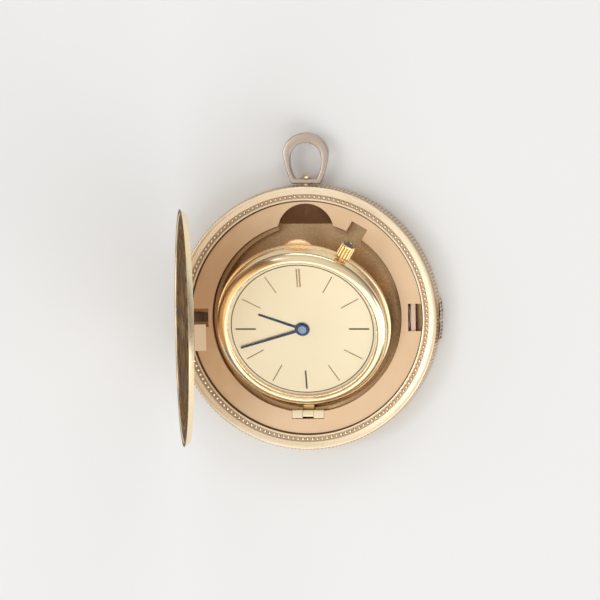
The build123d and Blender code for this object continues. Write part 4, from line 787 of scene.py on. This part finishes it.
# Bail post. A turned gold pin with a domed head, screwed into the coin's edge at 12 o'clock. The bail turns
# on its shank.
post_foot = 15.82
post_neck = 17.77
post_edge = 17.79
shank_radius = 0.4
post_radii = (0.7, 0.72)
dome_radius = 0.7463
dome_middle = 17.5937
dome_turn = np.linspace(1.3, 0, 12)
post_dome = np.column_stack([dome_radius * np.sin(dome_turn), dome_middle + dome_radius * np.cos(dome_turn)])
post_shank = [(0, post_foot), (shank_radius, post_foot), (shank_radius, post_neck)]
post_shank += [(post_radii[0], post_neck), (post_radii[1], post_edge)]
post_turned = turned(np.vstack([post_shank, post_dome]), steps=64)
post_points = np.stack([post_turned[..., 0], post_turned[..., 2], bail_middle + post_turned[..., 1]], axis=-1)
post = shell("bail_post_finished", [(post_points, True, False)])
post_gold = metal(
    "post_gold",
    light=(0.96, 0.8, 0.58),
    deep=(0.9, 0.72, 0.5),
    roughness=(0.3, 0.42),
    grain=2600,
    relief=6e-7,
)
fitted(post, "case", post_gold, sharp=40)
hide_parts("bail_post")


# Hinge of the watch head at 6 o'clock. Two flat-topped blocks of paler gold are seated in the frame's notch
# and take a steel pin, on which the watch head's own knuckle turns between them.
block_places = (-12.95, -11.9)
block_levels = (1.0, 3.17)
block_reach = (0.7, 2.05)
block_round = 0.09
hinge_edge = 0.03
pale_gold = metal(
    "pale_gold",
    light=(0.98, 0.86, 0.6),
    deep=(0.94, 0.8, 0.53),
    roughness=(0.3, 0.42),
    grain=3800,
    relief=8e-7,
    stretch=(1, 10, 1),
)


def cross_prism(places, levels, reach, radius=0):
    """A bar along x: a rectangle of places in y and levels in z, rounded if asked, carried over a reach."""
    outline = [(places[0], level) for level in levels] + [(places[1], level) for level in levels[::-1]]
    if radius:
        outline = eased(outline, radius, closed=True)
    return prism(outline, *reach)[..., [2, 0, 1]]


block_bars = [
    cross_prism(block_places, block_levels, (side * block_reach[0], side * block_reach[1]), block_round)
    for side in (-1, 1)
]
hinge_blocks = shell("hinge_blocks", [(bar, False, True) for bar in block_bars])
fitted(hinge_blocks, "case", pale_gold)
broken_edges(hinge_blocks, hinge_edge)
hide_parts("head_hinge_leaf")
softened("head_hinge_pin", ground_steel)


# Watch head's case. The back and band of the watch are one polished cup of gold, with a thin rim round its
# back, and the whole head stands raised on its hinge at 6 o'clock.
head_raise = 22.8
head_hinge = (-12.35, 2.72)
hinge_reach = -12.05
head_floor = 0.45
band_radius = 10.95
band_top = 1.8
head_radius = 11.2
flange_levels = (0.6, 0.62)
seat_radius = 10.45
seat_level = 1.3
room_radius = 10.3
back_thickness = 0.18
rise_cos = math.cos(math.radians(head_raise))
rise_sin = math.sin(math.radians(head_raise))
hinge_rise = head_hinge[1] - head_floor
head_y = head_hinge[0] - hinge_reach * rise_cos + hinge_rise * rise_sin
head_z = head_hinge[1] - hinge_reach * rise_sin - hinge_rise * rise_cos
head_ring = ((0, head_y * MM, head_z * MM), head_raise)


def on_head(points):
    """Points of the watch head as they lie in the closed case, turned up about its hinge and set in place."""
    x, y, z = np.moveaxis(points, -1, 0)
    return np.stack([x, head_y + y * rise_cos - z * rise_sin, head_z + y * rise_sin + z * rise_cos], axis=-1)


polished_gold = metal(
    "polished_gold",
    light=(0.94, 0.76, 0.51),
    deep=(0.88, 0.68, 0.42),
    roughness=(0.15, 0.24),
    grain=1500,
    relief=3e-7,
    ring=head_ring,
)
case_outline = eased(
    [
        (0, 0),
        (head_radius, 0),
        (head_radius, flange_levels[0]),
        (band_radius, flange_levels[1]),
        (band_radius, band_top),
        (seat_radius, band_top),
        (seat_radius, seat_level),
        (room_radius, seat_level),
        (room_radius, back_thickness),
        (0, back_thickness),
    ],
    radii=[0, 0.14, 0.12, 0.06, 0.03, 0.03, 0.02, 0.02, 0.03, 0],
)
head_case = shell("watch_case", [(on_head(turned(case_outline, steps=480)), True, False)])
fitted(head_case, "head", polished_gold)
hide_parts("head_case")


# Thumb tab. A small round lip of redder gold, soldered under the watch head at 12 o'clock, to lift it by. It
# lies in the thumb scoop when the head is down.
tab_radius = 2.345
tab_reach = 0.75
tab_levels = (0.02, 0.4)
tab_outline = eased(rectangle((0, tab_levels[0]), (tab_radius, tab_levels[1])), [0, 0.12, 0.12, 0])
rose_gold = metal(
    "rose_gold",
    light=(0.92, 0.62, 0.36),
    deep=(0.84, 0.54, 0.3),
    roughness=(0.2, 0.32),
    grain=4200,
    relief=8e-7,
)
tab = turned(tab_outline, steps=120)
tab[..., 1] += head_radius + tab_reach - tab_radius
thumb_tab = shell("thumb_tab", [(on_head(tab), True, False)])
fitted(thumb_tab, "head", rose_gold)
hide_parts("head_case")


# Hinge arm. A gold tongue from the band to the middle knuckle of the head's hinge, squared to lie flush with
# the blocks beside it when the head is up.
knuckle_reach = (-0.68, 0.68)
knuckle_half = 0.43
knuckle_round = 0.2
arm_root = 0.15
arm_levels = (0.9, 1.6)
arm_bar = cross_prism((arm_root - band_radius, hinge_reach), arm_levels, knuckle_reach)
knuckle_places = (head_hinge[0] - knuckle_half, head_hinge[0] + knuckle_half)
knuckle_levels = (head_hinge[1] - knuckle_half, head_hinge[1] + knuckle_half)
knuckle_bar = cross_prism(knuckle_places, knuckle_levels, knuckle_reach, knuckle_round)
hinge_arm = shell("hinge_arm", [(on_head(arm_bar), False, True)])
hinge_knuckle = shell("hinge_knuckle", [(knuckle_bar, False, True)])
for piece in (hinge_arm, hinge_knuckle):
    fitted(piece, "head", pale_gold)
    broken_edges(piece, hinge_edge)
    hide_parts("head_case")


# Mainplate and bridges. The mainplate is gilt brass with a circular grain, and the bridges and the cock hold
# every wheel against it. They are plated, and finished with fine straight stripes.
gilt = metal(
    "gilt_brass",
    light=(0.84, 0.62, 0.32),
    deep=(0.74, 0.52, 0.25),
    roughness=(0.24, 0.4),
    grain=4200,
    relief=1.2e-6,
    ring=head_ring,
)
striped = metal(
    "striped_plating",
    light=(0.8, 0.79, 0.76),
    deep=(0.64, 0.63, 0.6),
    roughness=(0.16, 0.34),
    grain=900,
    relief=3e-6,
    stretch=(1, 0.04, 0.04),
)


def dressed(finish, *nodes):
    """Gives CAD nodes their finish, in the material slots of their own meshes."""
    for node in nodes:
        frame["nodes"][node].data.materials.clear()
        frame["nodes"][node].data.materials.append(finish)


dressed(gilt, "mainplate")
dressed(striped, "barrel_bridge", "train_bridge", "balance_cock")


# Barrel. A toothed brass drum with its cover, the coiled steel mainspring inside it, and the arbor that winds
# the spring. It turns under its own bridge and drives the centre wheel's pinion.
dressed(gilt, "mainspring_barrel", "barrel_cover")
dressed(ground_steel, "mainspring", "barrel_arbor")


# Going train. Crossed-out brass wheels on steel arbors, each driving the next one's pinion, up to the escape
# wheel and its fork.
dressed(gilt, "center_wheel", "third_wheel", "fourth_wheel")
dressed(ground_steel, "escape_wheel", "pallet_fork")


# Balance. A gilt brass ring on two arms that swings on its staff under the cock. A flat coil of blued steel,
# the hairspring, brings it back.
blued = metal(
    "blued_steel",
    light=(0.035, 0.05, 0.09),
    deep=(0.02, 0.028, 0.05),
    roughness=(0.14, 0.26),
    grain=2400,
    relief=5e-7,
)
dressed(gilt, "balance_wheel")
dressed(blued, "hairspring")


# Jewels and screws. Ruby bearings are pressed in the plates, and the arbors' pivots run in them. Slotted
# steel screws round the edge hold the bridges down.
ruby = metal(
    "ruby",
    light=(0.5, 0.02, 0.06),
    deep=(0.36, 0.01, 0.04),
    roughness=(0.05, 0.12),
    grain=1800,
    relief=2e-7,
)
ruby.node_tree.nodes["Principled BSDF"].inputs["Metallic"].default_value = 0.0
dressed(ruby, "jewels")
dressed(ground_steel, "bridge_screws")


# Winding work. The crown's steel stem turns a pinion, the crown wheel and the ratchet wheel on the barrel,
# which a click holds; a lever sits in the stem's groove. A short gold tube guides the stem through the band.
crown_angle = math.radians(60)
stem_level = 1.0
dressed(ground_steel, "ratchet_wheel", "crown_wheel", "click", "setting_lever", "winding_pinion")
softened("stem", ground_steel, width=0.01)


def on_stem(points):
    """Points turned about the stem's axis, which is their z, set in the watch head."""
    x, y, z = np.moveaxis(points, -1, 0)
    c, s = math.cos(crown_angle), math.sin(crown_angle)
    return on_head(np.stack([z * c - y * s, z * s + y * c, stem_level + x], axis=-1))


tube_radii = (0.23, 0.4)
tube_ends = (10.5, 11.32)
tube_round = 0.04
tube_corners = rectangle((tube_radii[0], tube_ends[0]), (tube_radii[1], tube_ends[1]))
tube_outline = eased(tube_corners, tube_round, closed=True)
case_tube = shell("stem_tube", [(on_stem(turned(tube_outline, steps=96)), True, True)])
fitted(case_tube, "head", polished_gold)
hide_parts("case_tube")


# Crown. A small fluted gold knob at 1 o'clock that winds the watch, and sets it when pulled. It is turned
# with a flat end and fixed on the stem outside the band. Its corners are radii and places along the stem.
crown_radius = 0.95
crown_foot = 11.4
crown_top = 13.35
flute_depth = 0.13
flute_count = 16
flute_steps = 12
flute_curve = 0.6
flute_start = 0.8
flute_blend = 0.15
end_facing = 0.95
crown_outline = eased(
    [
        (0, crown_foot),
        (0.74, crown_foot),
        (0.94, 11.56),
        (crown_radius, 11.6),
        (crown_radius, 13.08),
        (0.84, 13.24),
        (0.8, crown_top),
        (0.62, crown_top),
        (0.58, 13.31),
        (0, 13.31),
    ],
    radii=[0, 0.05, 0.05, 0.03, 0.05, 0.05, 0.03, 0.03, 0.03, 0],
)
crown_turned = turned(crown_outline, flute_count * flute_steps)
flute_dip = dips(np.pi * (np.arange(flute_count * flute_steps) / flute_steps), flute_curve)
fluted = np.clip((crown_outline[:, 0] - flute_start) / flute_blend, 0, 1)
crown_turned[..., :2] *= (1 - flute_dip[:, None] * fluted * flute_depth / crown_radius)[..., None]
crown = shell("crown_finished", [(on_stem(crown_turned), True, False)])
crown_gold = metal(
    "crown_gold",
    light=(0.97, 0.78, 0.42),
    deep=(0.9, 0.68, 0.33),
    roughness=(0.12, 0.22),
    grain=2600,
    relief=6e-7,
)
crown_end = metal(
    "crown_end",
    light=(0.2, 0.17, 0.13),
    deep=(0.13, 0.11, 0.09),
    roughness=(0.35, 0.5),
    grain=3600,
    relief=1e-6,
)
fitted(crown, "crown", crown_gold, sharp=40)
outward_way = on_stem(np.array([0, 0, 1.0])) - on_stem(np.zeros(3))
refinished(crown, crown_end, lambda middle, normal: outward_way @ normal > end_facing)
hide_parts("crown")


# Motion work. Under the dial, the steel cannon pinion turns the minute wheel, and that turns the hour wheel.
# Both wheels are cut from gilt brass, and the hands sit on the pinion and the hour wheel.
dressed(ground_steel, "cannon_pinion")
dressed(gilt, "minute_wheel", "hour_wheel")


# Dial. A thin disc in matte pale gold lacquer, with a fine dark line printed round it just inside the bezel.
# It lies on the movement's rim, and the bezel clamps it.
dial_levels = (1.86, 1.98)
dial_radius = 10.3
dial_hole = 0.6
dial_round = 0.02
line_radii = (9.07, 9.2)
line_height = 0.012
dial_lacquer = metal(
    "dial_lacquer",
    light=(0.98, 0.86, 0.6),
    deep=(0.96, 0.83, 0.56),
    roughness=(0.48, 0.6),
    grain=9000,
    relief=8e-7,
    ring=head_ring,
    patch=60,
)
dial_shader = dial_lacquer.node_tree.nodes["Principled BSDF"]
dial_shader.inputs["Metallic"].default_value = 0.2
dial_corners = rectangle((dial_hole, dial_levels[0]), (dial_radius, dial_levels[1]))
dial_outline = eased(dial_corners, dial_round, closed=True)
dial = shell("dial_finished", [(on_head(turned(dial_outline, steps=240)), True, True)])
fitted(dial, "head", dial_lacquer)
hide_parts("dial")

marker_ink = metal(
    "marker_ink",
    light=(0.10, 0.075, 0.05),
    deep=(0.06, 0.045, 0.03),
    roughness=(0.3, 0.45),
    grain=3000,
    relief=3e-7,
)
line_outline = rectangle((line_radii[0], dial_levels[1]), (line_radii[1], dial_levels[1] + line_height))
dial_ring = shell("dial_ring", [(on_head(turned(line_outline, steps=240)), True, True)])
fitted(dial_ring, "head", marker_ink)


# Hour markers. Thin ridged batons of dark gold, one an hour and two at 12, set flat on the dial. Those at 12,
# 3, 6 and 9 are broader, and the last three are nearly black.
marker_reach = (6.0, 8.6)
marker_height = 0.05
marker_widths = (0.13, 0.2)
twin_shift = 0.17
baton_section = np.array([(-1, 0), (1, 0), (1, 0.45), (0.25, 1), (-0.25, 1), (-1, 0.45)])
baton_spread = np.array([0, 0.85, 1, 1, 0.85, 0])
baton_rise = np.array([0.3, 1, 1, 1, 1, 0.3])
baton_taper = 0.03


def baton(start, end, widths, height, level, angle, shift=0.0):
    """A straight bar with a ridge: a six-sided section carried from start to end, turned by an angle.

    The section has a flat foot, short upright sides, and two slopes up to a narrow flat. Its spread and its
    rise lessen towards both ends, over the taper."""
    along = np.array([start, start, start + baton_taper, end - baton_taper, end, end])
    half = np.interp(along, [start, end], widths) / 2 * baton_spread
    rise = height * baton_rise
    x = np.repeat(along[:, None], len(baton_section), axis=1)
    y = shift + half[:, None] * baton_section[:, 0]
    z = level + rise[:, None] * baton_section[:, 1]
    c, s = math.cos(math.radians(angle)), math.sin(math.radians(angle))
    return np.stack([x * c - y * s, x * s + y * c, z], axis=-1)


marker_gold = metal(
    "marker_gold",
    light=(0.42, 0.31, 0.17),
    deep=(0.3, 0.21, 0.11),
    roughness=(0.3, 0.45),
    grain=3000,
    relief=3e-7,
)
marker_sets = (
    ("hour_batons", (1, 2, 4, 5, 7, 8, 10, 11), (0.0,), marker_widths[0], marker_gold),
    ("twin_baton", (0,), (-twin_shift, twin_shift), marker_widths[1], marker_gold),
    ("quarter_batons", (3, 6, 9), (0.0,), marker_widths[1], marker_ink),
)
for name, hours, shifts, width, ink in marker_sets:
    bars = [
        baton(*marker_reach, (width, width), marker_height, dial_levels[1], 90 - 30 * hour, shift)
        for hour in hours
        for shift in shifts
    ]
    markers = shell(name, [(on_head(bar), False, True) for bar in bars])
    fitted(markers, "head", ink, sharp=20)
    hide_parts("hour_markers")


# Hands. Slim ridged batons of blued steel on round bosses, pressed on the motion work's pipes, the hour hand
# below. A smooth cap closes the middle.
hand_thickness = 0.06
hand_widths = (0.34, 0.26)
hand_root = 0.7


def hand(name, body, node, length, boss, bore, level, clock_angle):
    """A hand: a ridged baton from its boss to its tip, and the boss, a low ring round the bore."""
    turn = 90 - clock_angle
    blade = baton(boss * hand_root, length, hand_widths, hand_thickness, level, turn)
    boss_corners = rectangle((bore, level), (boss, level + hand_thickness))
    boss_sheet = turned(eased(boss_corners, [0, 0.01, 0.02, 0], closed=True), steps=96)
    made = shell(name, [(on_head(blade), False, True), (on_head(boss_sheet), True, True)])
    fitted(made, body, blued, sharp=20)
    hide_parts(node)


hand("hour_baton", "hour", "hour_hand", length=5.9, boss=0.95, bore=0.54, level=2.04, clock_angle=291)
hand("minute_baton", "minute", "minute_hand", length=8.5, boss=0.75, bore=0.38, level=2.16, clock_angle=252)
cap_levels = (2.22, 2.25, 2.27)
cap_radii = (0.55, 0.2)
cap_corners = [(0, cap_levels[0]), (cap_radii[0], cap_levels[0]), (cap_radii[0], cap_levels[1])]
cap_corners += [(cap_radii[1], cap_levels[2]), (0, cap_levels[2])]
cap_outline = eased(cap_corners, [0, 0.01, 0.03, 0.1, 0])
hand_cap = shell("centre_cap", [(on_head(turned(cap_outline, steps=96)), True, False)])
cap_steel = metal(
    "cap_steel",
    light=(0.2, 0.26, 0.36),
    deep=(0.13, 0.17, 0.25),
    roughness=(0.25, 0.4),
    grain=2400,
    relief=4e-7,
)
fitted(hand_cap, "minute", cap_steel)
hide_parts("hand_cap")


# Bezel. A broad polished ring with a convex face, made in one piece of gold. It is pressed on the band's
# edge, holds the crystal and clamps the dial. Its inner side, from crest to dial, is a row of corners.
bezel_radius = 10.98
bezel_seat = 10.34
bezel_gap = 0.02
bezel_edge = 0.06
clamp_level = 2.0
crest_radius = 9.88
crest_level = 2.7
bezel_skirt = 0.12
bezel_curve = 1.15
bezel_turn = np.linspace(0, np.pi / 2, 22)
convex = np.column_stack(
    [
        crest_radius + (bezel_radius - crest_radius) * np.cos(bezel_turn) ** bezel_curve,
        band_top + bezel_skirt + (crest_level - band_top - bezel_skirt) * np.sin(bezel_turn) ** bezel_curve,
    ]
)
bezel_outline = np.vstack(
    [
        [(bezel_seat, band_top + bezel_gap), (band_radius, band_top + bezel_gap)],
        [(bezel_radius, band_top + bezel_edge)],
        convex,
        [(9.83, 2.69), (9.77, 2.67), (9.72, 2.65), (9.7, 2.62), (9.7, 2.35), (9.68, 2.34), (9.52, 2.34)],
        [(9.5, 2.32), (9.5, 2.02), (9.52, clamp_level), (bezel_seat, clamp_level)],
    ]
)
bezel = shell("bezel_finished", [(on_head(turned(bezel_outline, steps=480)), True, True)])
fitted(bezel, "head", polished_gold, sharp=30)
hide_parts("bezel")


# Crystal. A thin flat glass in the bezel's seat. It mirrors more the flatter it is looked along, by a least
# share plus a rise times (1 - cos a)^5, and is clear where it doesn't.
crystal_levels = (2.34, 2.64)
crystal_radius = 9.69
glass = bpy.data.materials.new("crystal_glass")
glass.use_nodes = True
glass_nodes = glass.node_tree.nodes
glass_shader = glass_nodes["Principled BSDF"]
glass_shader.inputs["Base Color"].default_value = (0.95, 0.97, 1.0, 1)
glass_shader.inputs["Metallic"].default_value = 1.0
glass_shader.inputs["Roughness"].default_value = 0.03
glass_tilt = glass_nodes.new("ShaderNodeLayerWeight")
glass_tilt.inputs["Blend"].default_value = 0.5
glass_rise = glass_nodes.new("ShaderNodeMath")
glass_rise.operation = "POWER"
glass_rise.inputs[1].default_value = 5.0
glass_share = glass_nodes.new("ShaderNodeMath")
glass_share.operation = "MULTIPLY_ADD"
glass_share.inputs[1].default_value = 0.8
glass_share.inputs[2].default_value = 0.01
wire(
    glass,
    (glass_tilt.outputs["Facing"], glass_rise.inputs[0]),
    (glass_rise.outputs[0], glass_share.inputs[0]),
    (glass_share.outputs[0], glass_shader.inputs["Alpha"]),
)
crystal_corners = rectangle((0, crystal_levels[0]), (crystal_radius, crystal_levels[1]))
crystal_outline = eased(crystal_corners, [0, 0.02, 0.05, 0])
crystal = shell("crystal_finished", [(on_head(turned(crystal_outline, steps=240)), True, False)])
fitted(crystal, "head", glass)
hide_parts("crystal")


# Lid. The coin's front inside its beads, cut out as a thin gold disc with a bevelled edge, standing open on
# its hinge. Its outer face is struck like the back: wreath, pellets and rosette inside a raised border.
lid_radius = 15.0
lid_inner_radius = 14.52
lid_plate = 0.58
lid_relief = 0.68
lid_thickness = 0.72
lid_border = 0.55
border_slope = 0.03
lid_steps = (108, 760)
lid_wear_shade = 0.3
edge_facing = 0.4
inner_facing = -0.9
lid_level = 3.25
pin_x = -16.13
pin_z = 2.925
lid_open = math.radians(77.3)
lid_cos = math.cos(lid_open)
lid_sin = math.sin(lid_open)
lid_x = pin_x * (1 - lid_cos) - (lid_level - pin_z) * lid_sin
lid_z = pin_z - pin_x * lid_sin + (lid_level - pin_z) * lid_cos


def on_lid(points):
    """Points of the closed lid, with x and y in its inner face and z out of it, swung open on its pin."""
    x, y, z = np.moveaxis(points, -1, 0)
    return np.stack([lid_x + x * lid_cos - z * lid_sin, y, lid_z + x * lid_sin + z * lid_cos], axis=-1)


design_radius = lid_radius - lid_border
front = struck_sheet(design_radius, design_radius - border_slope, *lid_steps)
front[..., 2] = lid_plate + (lid_relief - lid_plate) * front[..., 2]
edge_outline = eased(
    [
        (design_radius - border_slope, lid_plate),
        (design_radius, lid_thickness),
        (lid_radius, lid_thickness),
        (lid_inner_radius, 0),
        (0, 0),
    ],
    radii=[0, 0.04, 0.05, 0.05, 0],
)[1:]
edge_sheet = np.swapaxes(turned(edge_outline, lid_steps[1]), 0, 1)
lid = shell("lid_struck", [(on_lid(np.concatenate([front, edge_sheet])), False, True)])
lid_out = np.array([-lid_sin, 0, lid_cos])
lid_base = lid_z * lid_cos - lid_x * lid_sin
field_level = lid_base + lid_plate - lid_wear_shade * (lid_relief - lid_plate)
relief_rise = lid_base + lid_relief - field_level
# Relief of the lid's face: the struck design stands high and the field lies low, where a painted shade
# darkens it.
marked(lid, lambda x, y, z: (lid_out[0] * x + lid_out[2] * z - field_level) / relief_rise)
# The lid's faces get a darker, browner gold than its edge: a painted shade, and the near-black specular tint
# below damps their grazing reflection to the same end.
lid_shade_gold = metal(
    "lid_shade_gold",
    light=(0.82, 0.59, 0.35),
    deep=(0.66, 0.46, 0.26),
    roughness=(0.24, 0.4),
    grain=6500,
    relief=2e-6,
    wear_and_shade="relief",
)
lid_shade_gold.node_tree.nodes["Principled BSDF"].inputs["Specular Tint"].default_value = (0.1, 0.08, 0.06, 1)
fitted(lid, "lid", lid_shade_gold, sharp=60)
edge_gold = metal(
    "edge_gold",
    light=(1.0, 0.85, 0.58),
    deep=(0.97, 0.79, 0.52),
    roughness=(0.26, 0.4),
    grain=4200,
    relief=1e-6,
)
# The lid's inner face is darker than its edge too: a painted shade.
inner_shade_gold = metal(
    "inner_shade_gold",
    light=(0.71, 0.5, 0.31),
    deep=(0.61, 0.42, 0.25),
    roughness=(0.22, 0.36),
    grain=4200,
    relief=1e-6,
)
refinished(lid, edge_gold, lambda middle, normal: lid_out @ normal < edge_facing)
refinished(lid, inner_shade_gold, lambda middle, normal: lid_out @ normal < inner_facing)
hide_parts("lid")


# Lid's ear and hook. The ear is soldered to the lid at 9 o'clock and holds the hinge pin. The hook at 3
# o'clock is a brushed gold plate, and the catch bar enters its notch.
softened("lid_hinge_ear", brushed_gold, width=0.04)
hook_gold = metal(
    "hook_gold",
    light=(0.8, 0.585, 0.4),
    deep=(0.74, 0.53, 0.35),
    roughness=(0.3, 0.42),
    grain=3800,
    relief=8e-7,
    stretch=(1, 10, 1),
)
softened("lid_catch_hook", hook_gold, width=0.04)


# Table and studio. A plain pale floor, a large soft light in front, weaker ones at the sides and behind, and
# a pale room with a darker horizon for the gold to mirror. Their sizes are in metres.
floor_half = 3.0
target = Vector((0, 0, 0.004))
floor_mesh = bpy.data.meshes.new("floor")
floor_corners = [(x, y, 0) for x, y in rectangle((-floor_half, -floor_half), (floor_half, floor_half))]
floor_mesh.from_pydata(floor_corners, [], [(0, 1, 2, 3)])
floor = stood("floor", floor_mesh)
table = bpy.data.materials.new("pale_table")
table.use_nodes = True
table_shader = table.node_tree.nodes["Principled BSDF"]
table_shader.inputs["Base Color"].default_value = (0.86, 0.86, 0.86, 1)
table_shader.inputs["Roughness"].default_value = 0.6
floor_mesh.materials.append(table)


def softbox(name, place, size, watts):
    """A rectangular soft light that looks at the watch."""
    light = bpy.data.lights.new(name, "AREA")
    light.shape = "RECTANGLE"
    light.size, light.size_y = size
    light.energy = watts
    lamp = stood(name, light)
    lamp.location = place
    lamp.rotation_euler = (target - Vector(place)).to_track_quat("-Z", "Y").to_euler()


softbox("front_box", place=(0.14, -0.8, 0.66), size=(1.4, 0.9), watts=4.9)
softbox("left_box", place=(-0.62, 0.05, 0.8), size=(0.5, 0.6), watts=2.0)
softbox("back_box", place=(0.1, 0.75, 0.5), size=(0.8, 0.25), watts=1.4)
softbox("right_box", place=(0.75, -0.45, 0.33), size=(0.6, 0.4), watts=1.6)

room = bpy.data.worlds.new("room")
room.use_nodes = True
bpy.context.scene.world = room
room_nodes = room.node_tree.nodes
way = room_nodes.new("ShaderNodeTexCoord")
split_way = room_nodes.new("ShaderNodeSeparateXYZ")
ramp = room_nodes.new("ShaderNodeValToRGB")
ramp.color_ramp.elements[0].position = 0.0
ramp.color_ramp.elements[0].color = (0.12, 0.11, 0.10, 1)
ramp.color_ramp.elements[1].position = 1.0
ramp.color_ramp.elements[1].color = (0.86, 0.85, 0.83, 1)
middle_stop = ramp.color_ramp.elements.new(0.5)
middle_stop.color = (0.32, 0.31, 0.29, 1)
wire(
    room,
    (way.outputs["Generated"], split_way.inputs[0]),
    (split_way.outputs["Z"], ramp.inputs["Fac"]),
    (ramp.outputs["Color"], room_nodes["Background"].inputs["Color"]),
)
room_nodes["Background"].inputs["Strength"].default_value = 1.0
bpy.context.scene.view_settings.view_transform = "Standard"


# Camera. It stands 0.9 m off, turned a little to 3 o'clock and to 12, as the watch was photographed. Its lens
# is shifted by a few of the picture's pixels, to set the watch where it lies in the frame.
picture_pixels = 600
picture_shift = (-5.802, 18.103)
camera_lens = 423.2
camera_sensor = 36
camera_reach = 0.901
camera_side = math.radians(8.473)
camera_lift = math.radians(4.787)
camera_roll = math.radians(-0.764)
camera_away = Vector(
    (
        math.sin(camera_side) * math.cos(camera_lift),
        math.sin(camera_lift),
        math.cos(camera_side) * math.cos(camera_lift),
    )
)
level_right = Vector((0, 1, 0)).cross(camera_away).normalized()
level_up = camera_away.cross(level_right)
camera_right = level_right * math.cos(camera_roll) + level_up * math.sin(camera_roll)
camera_up = level_up * math.cos(camera_roll) - level_right * math.sin(camera_roll)
camera_data = bpy.data.cameras.new("camera")
camera_data.sensor_width = camera_sensor
camera_data.lens = camera_lens
camera_data.shift_x = picture_shift[0] / picture_pixels
camera_data.shift_y = picture_shift[1] / picture_pixels
camera_data.clip_end = 10
camera = stood("camera", camera_data)
camera_turn = Matrix((camera_right, camera_up, camera_away)).transposed()
camera.matrix_world = Matrix.Translation(target + camera_away * camera_reach) @ camera_turn.to_4x4()
bpy.context.scene.camera = camera
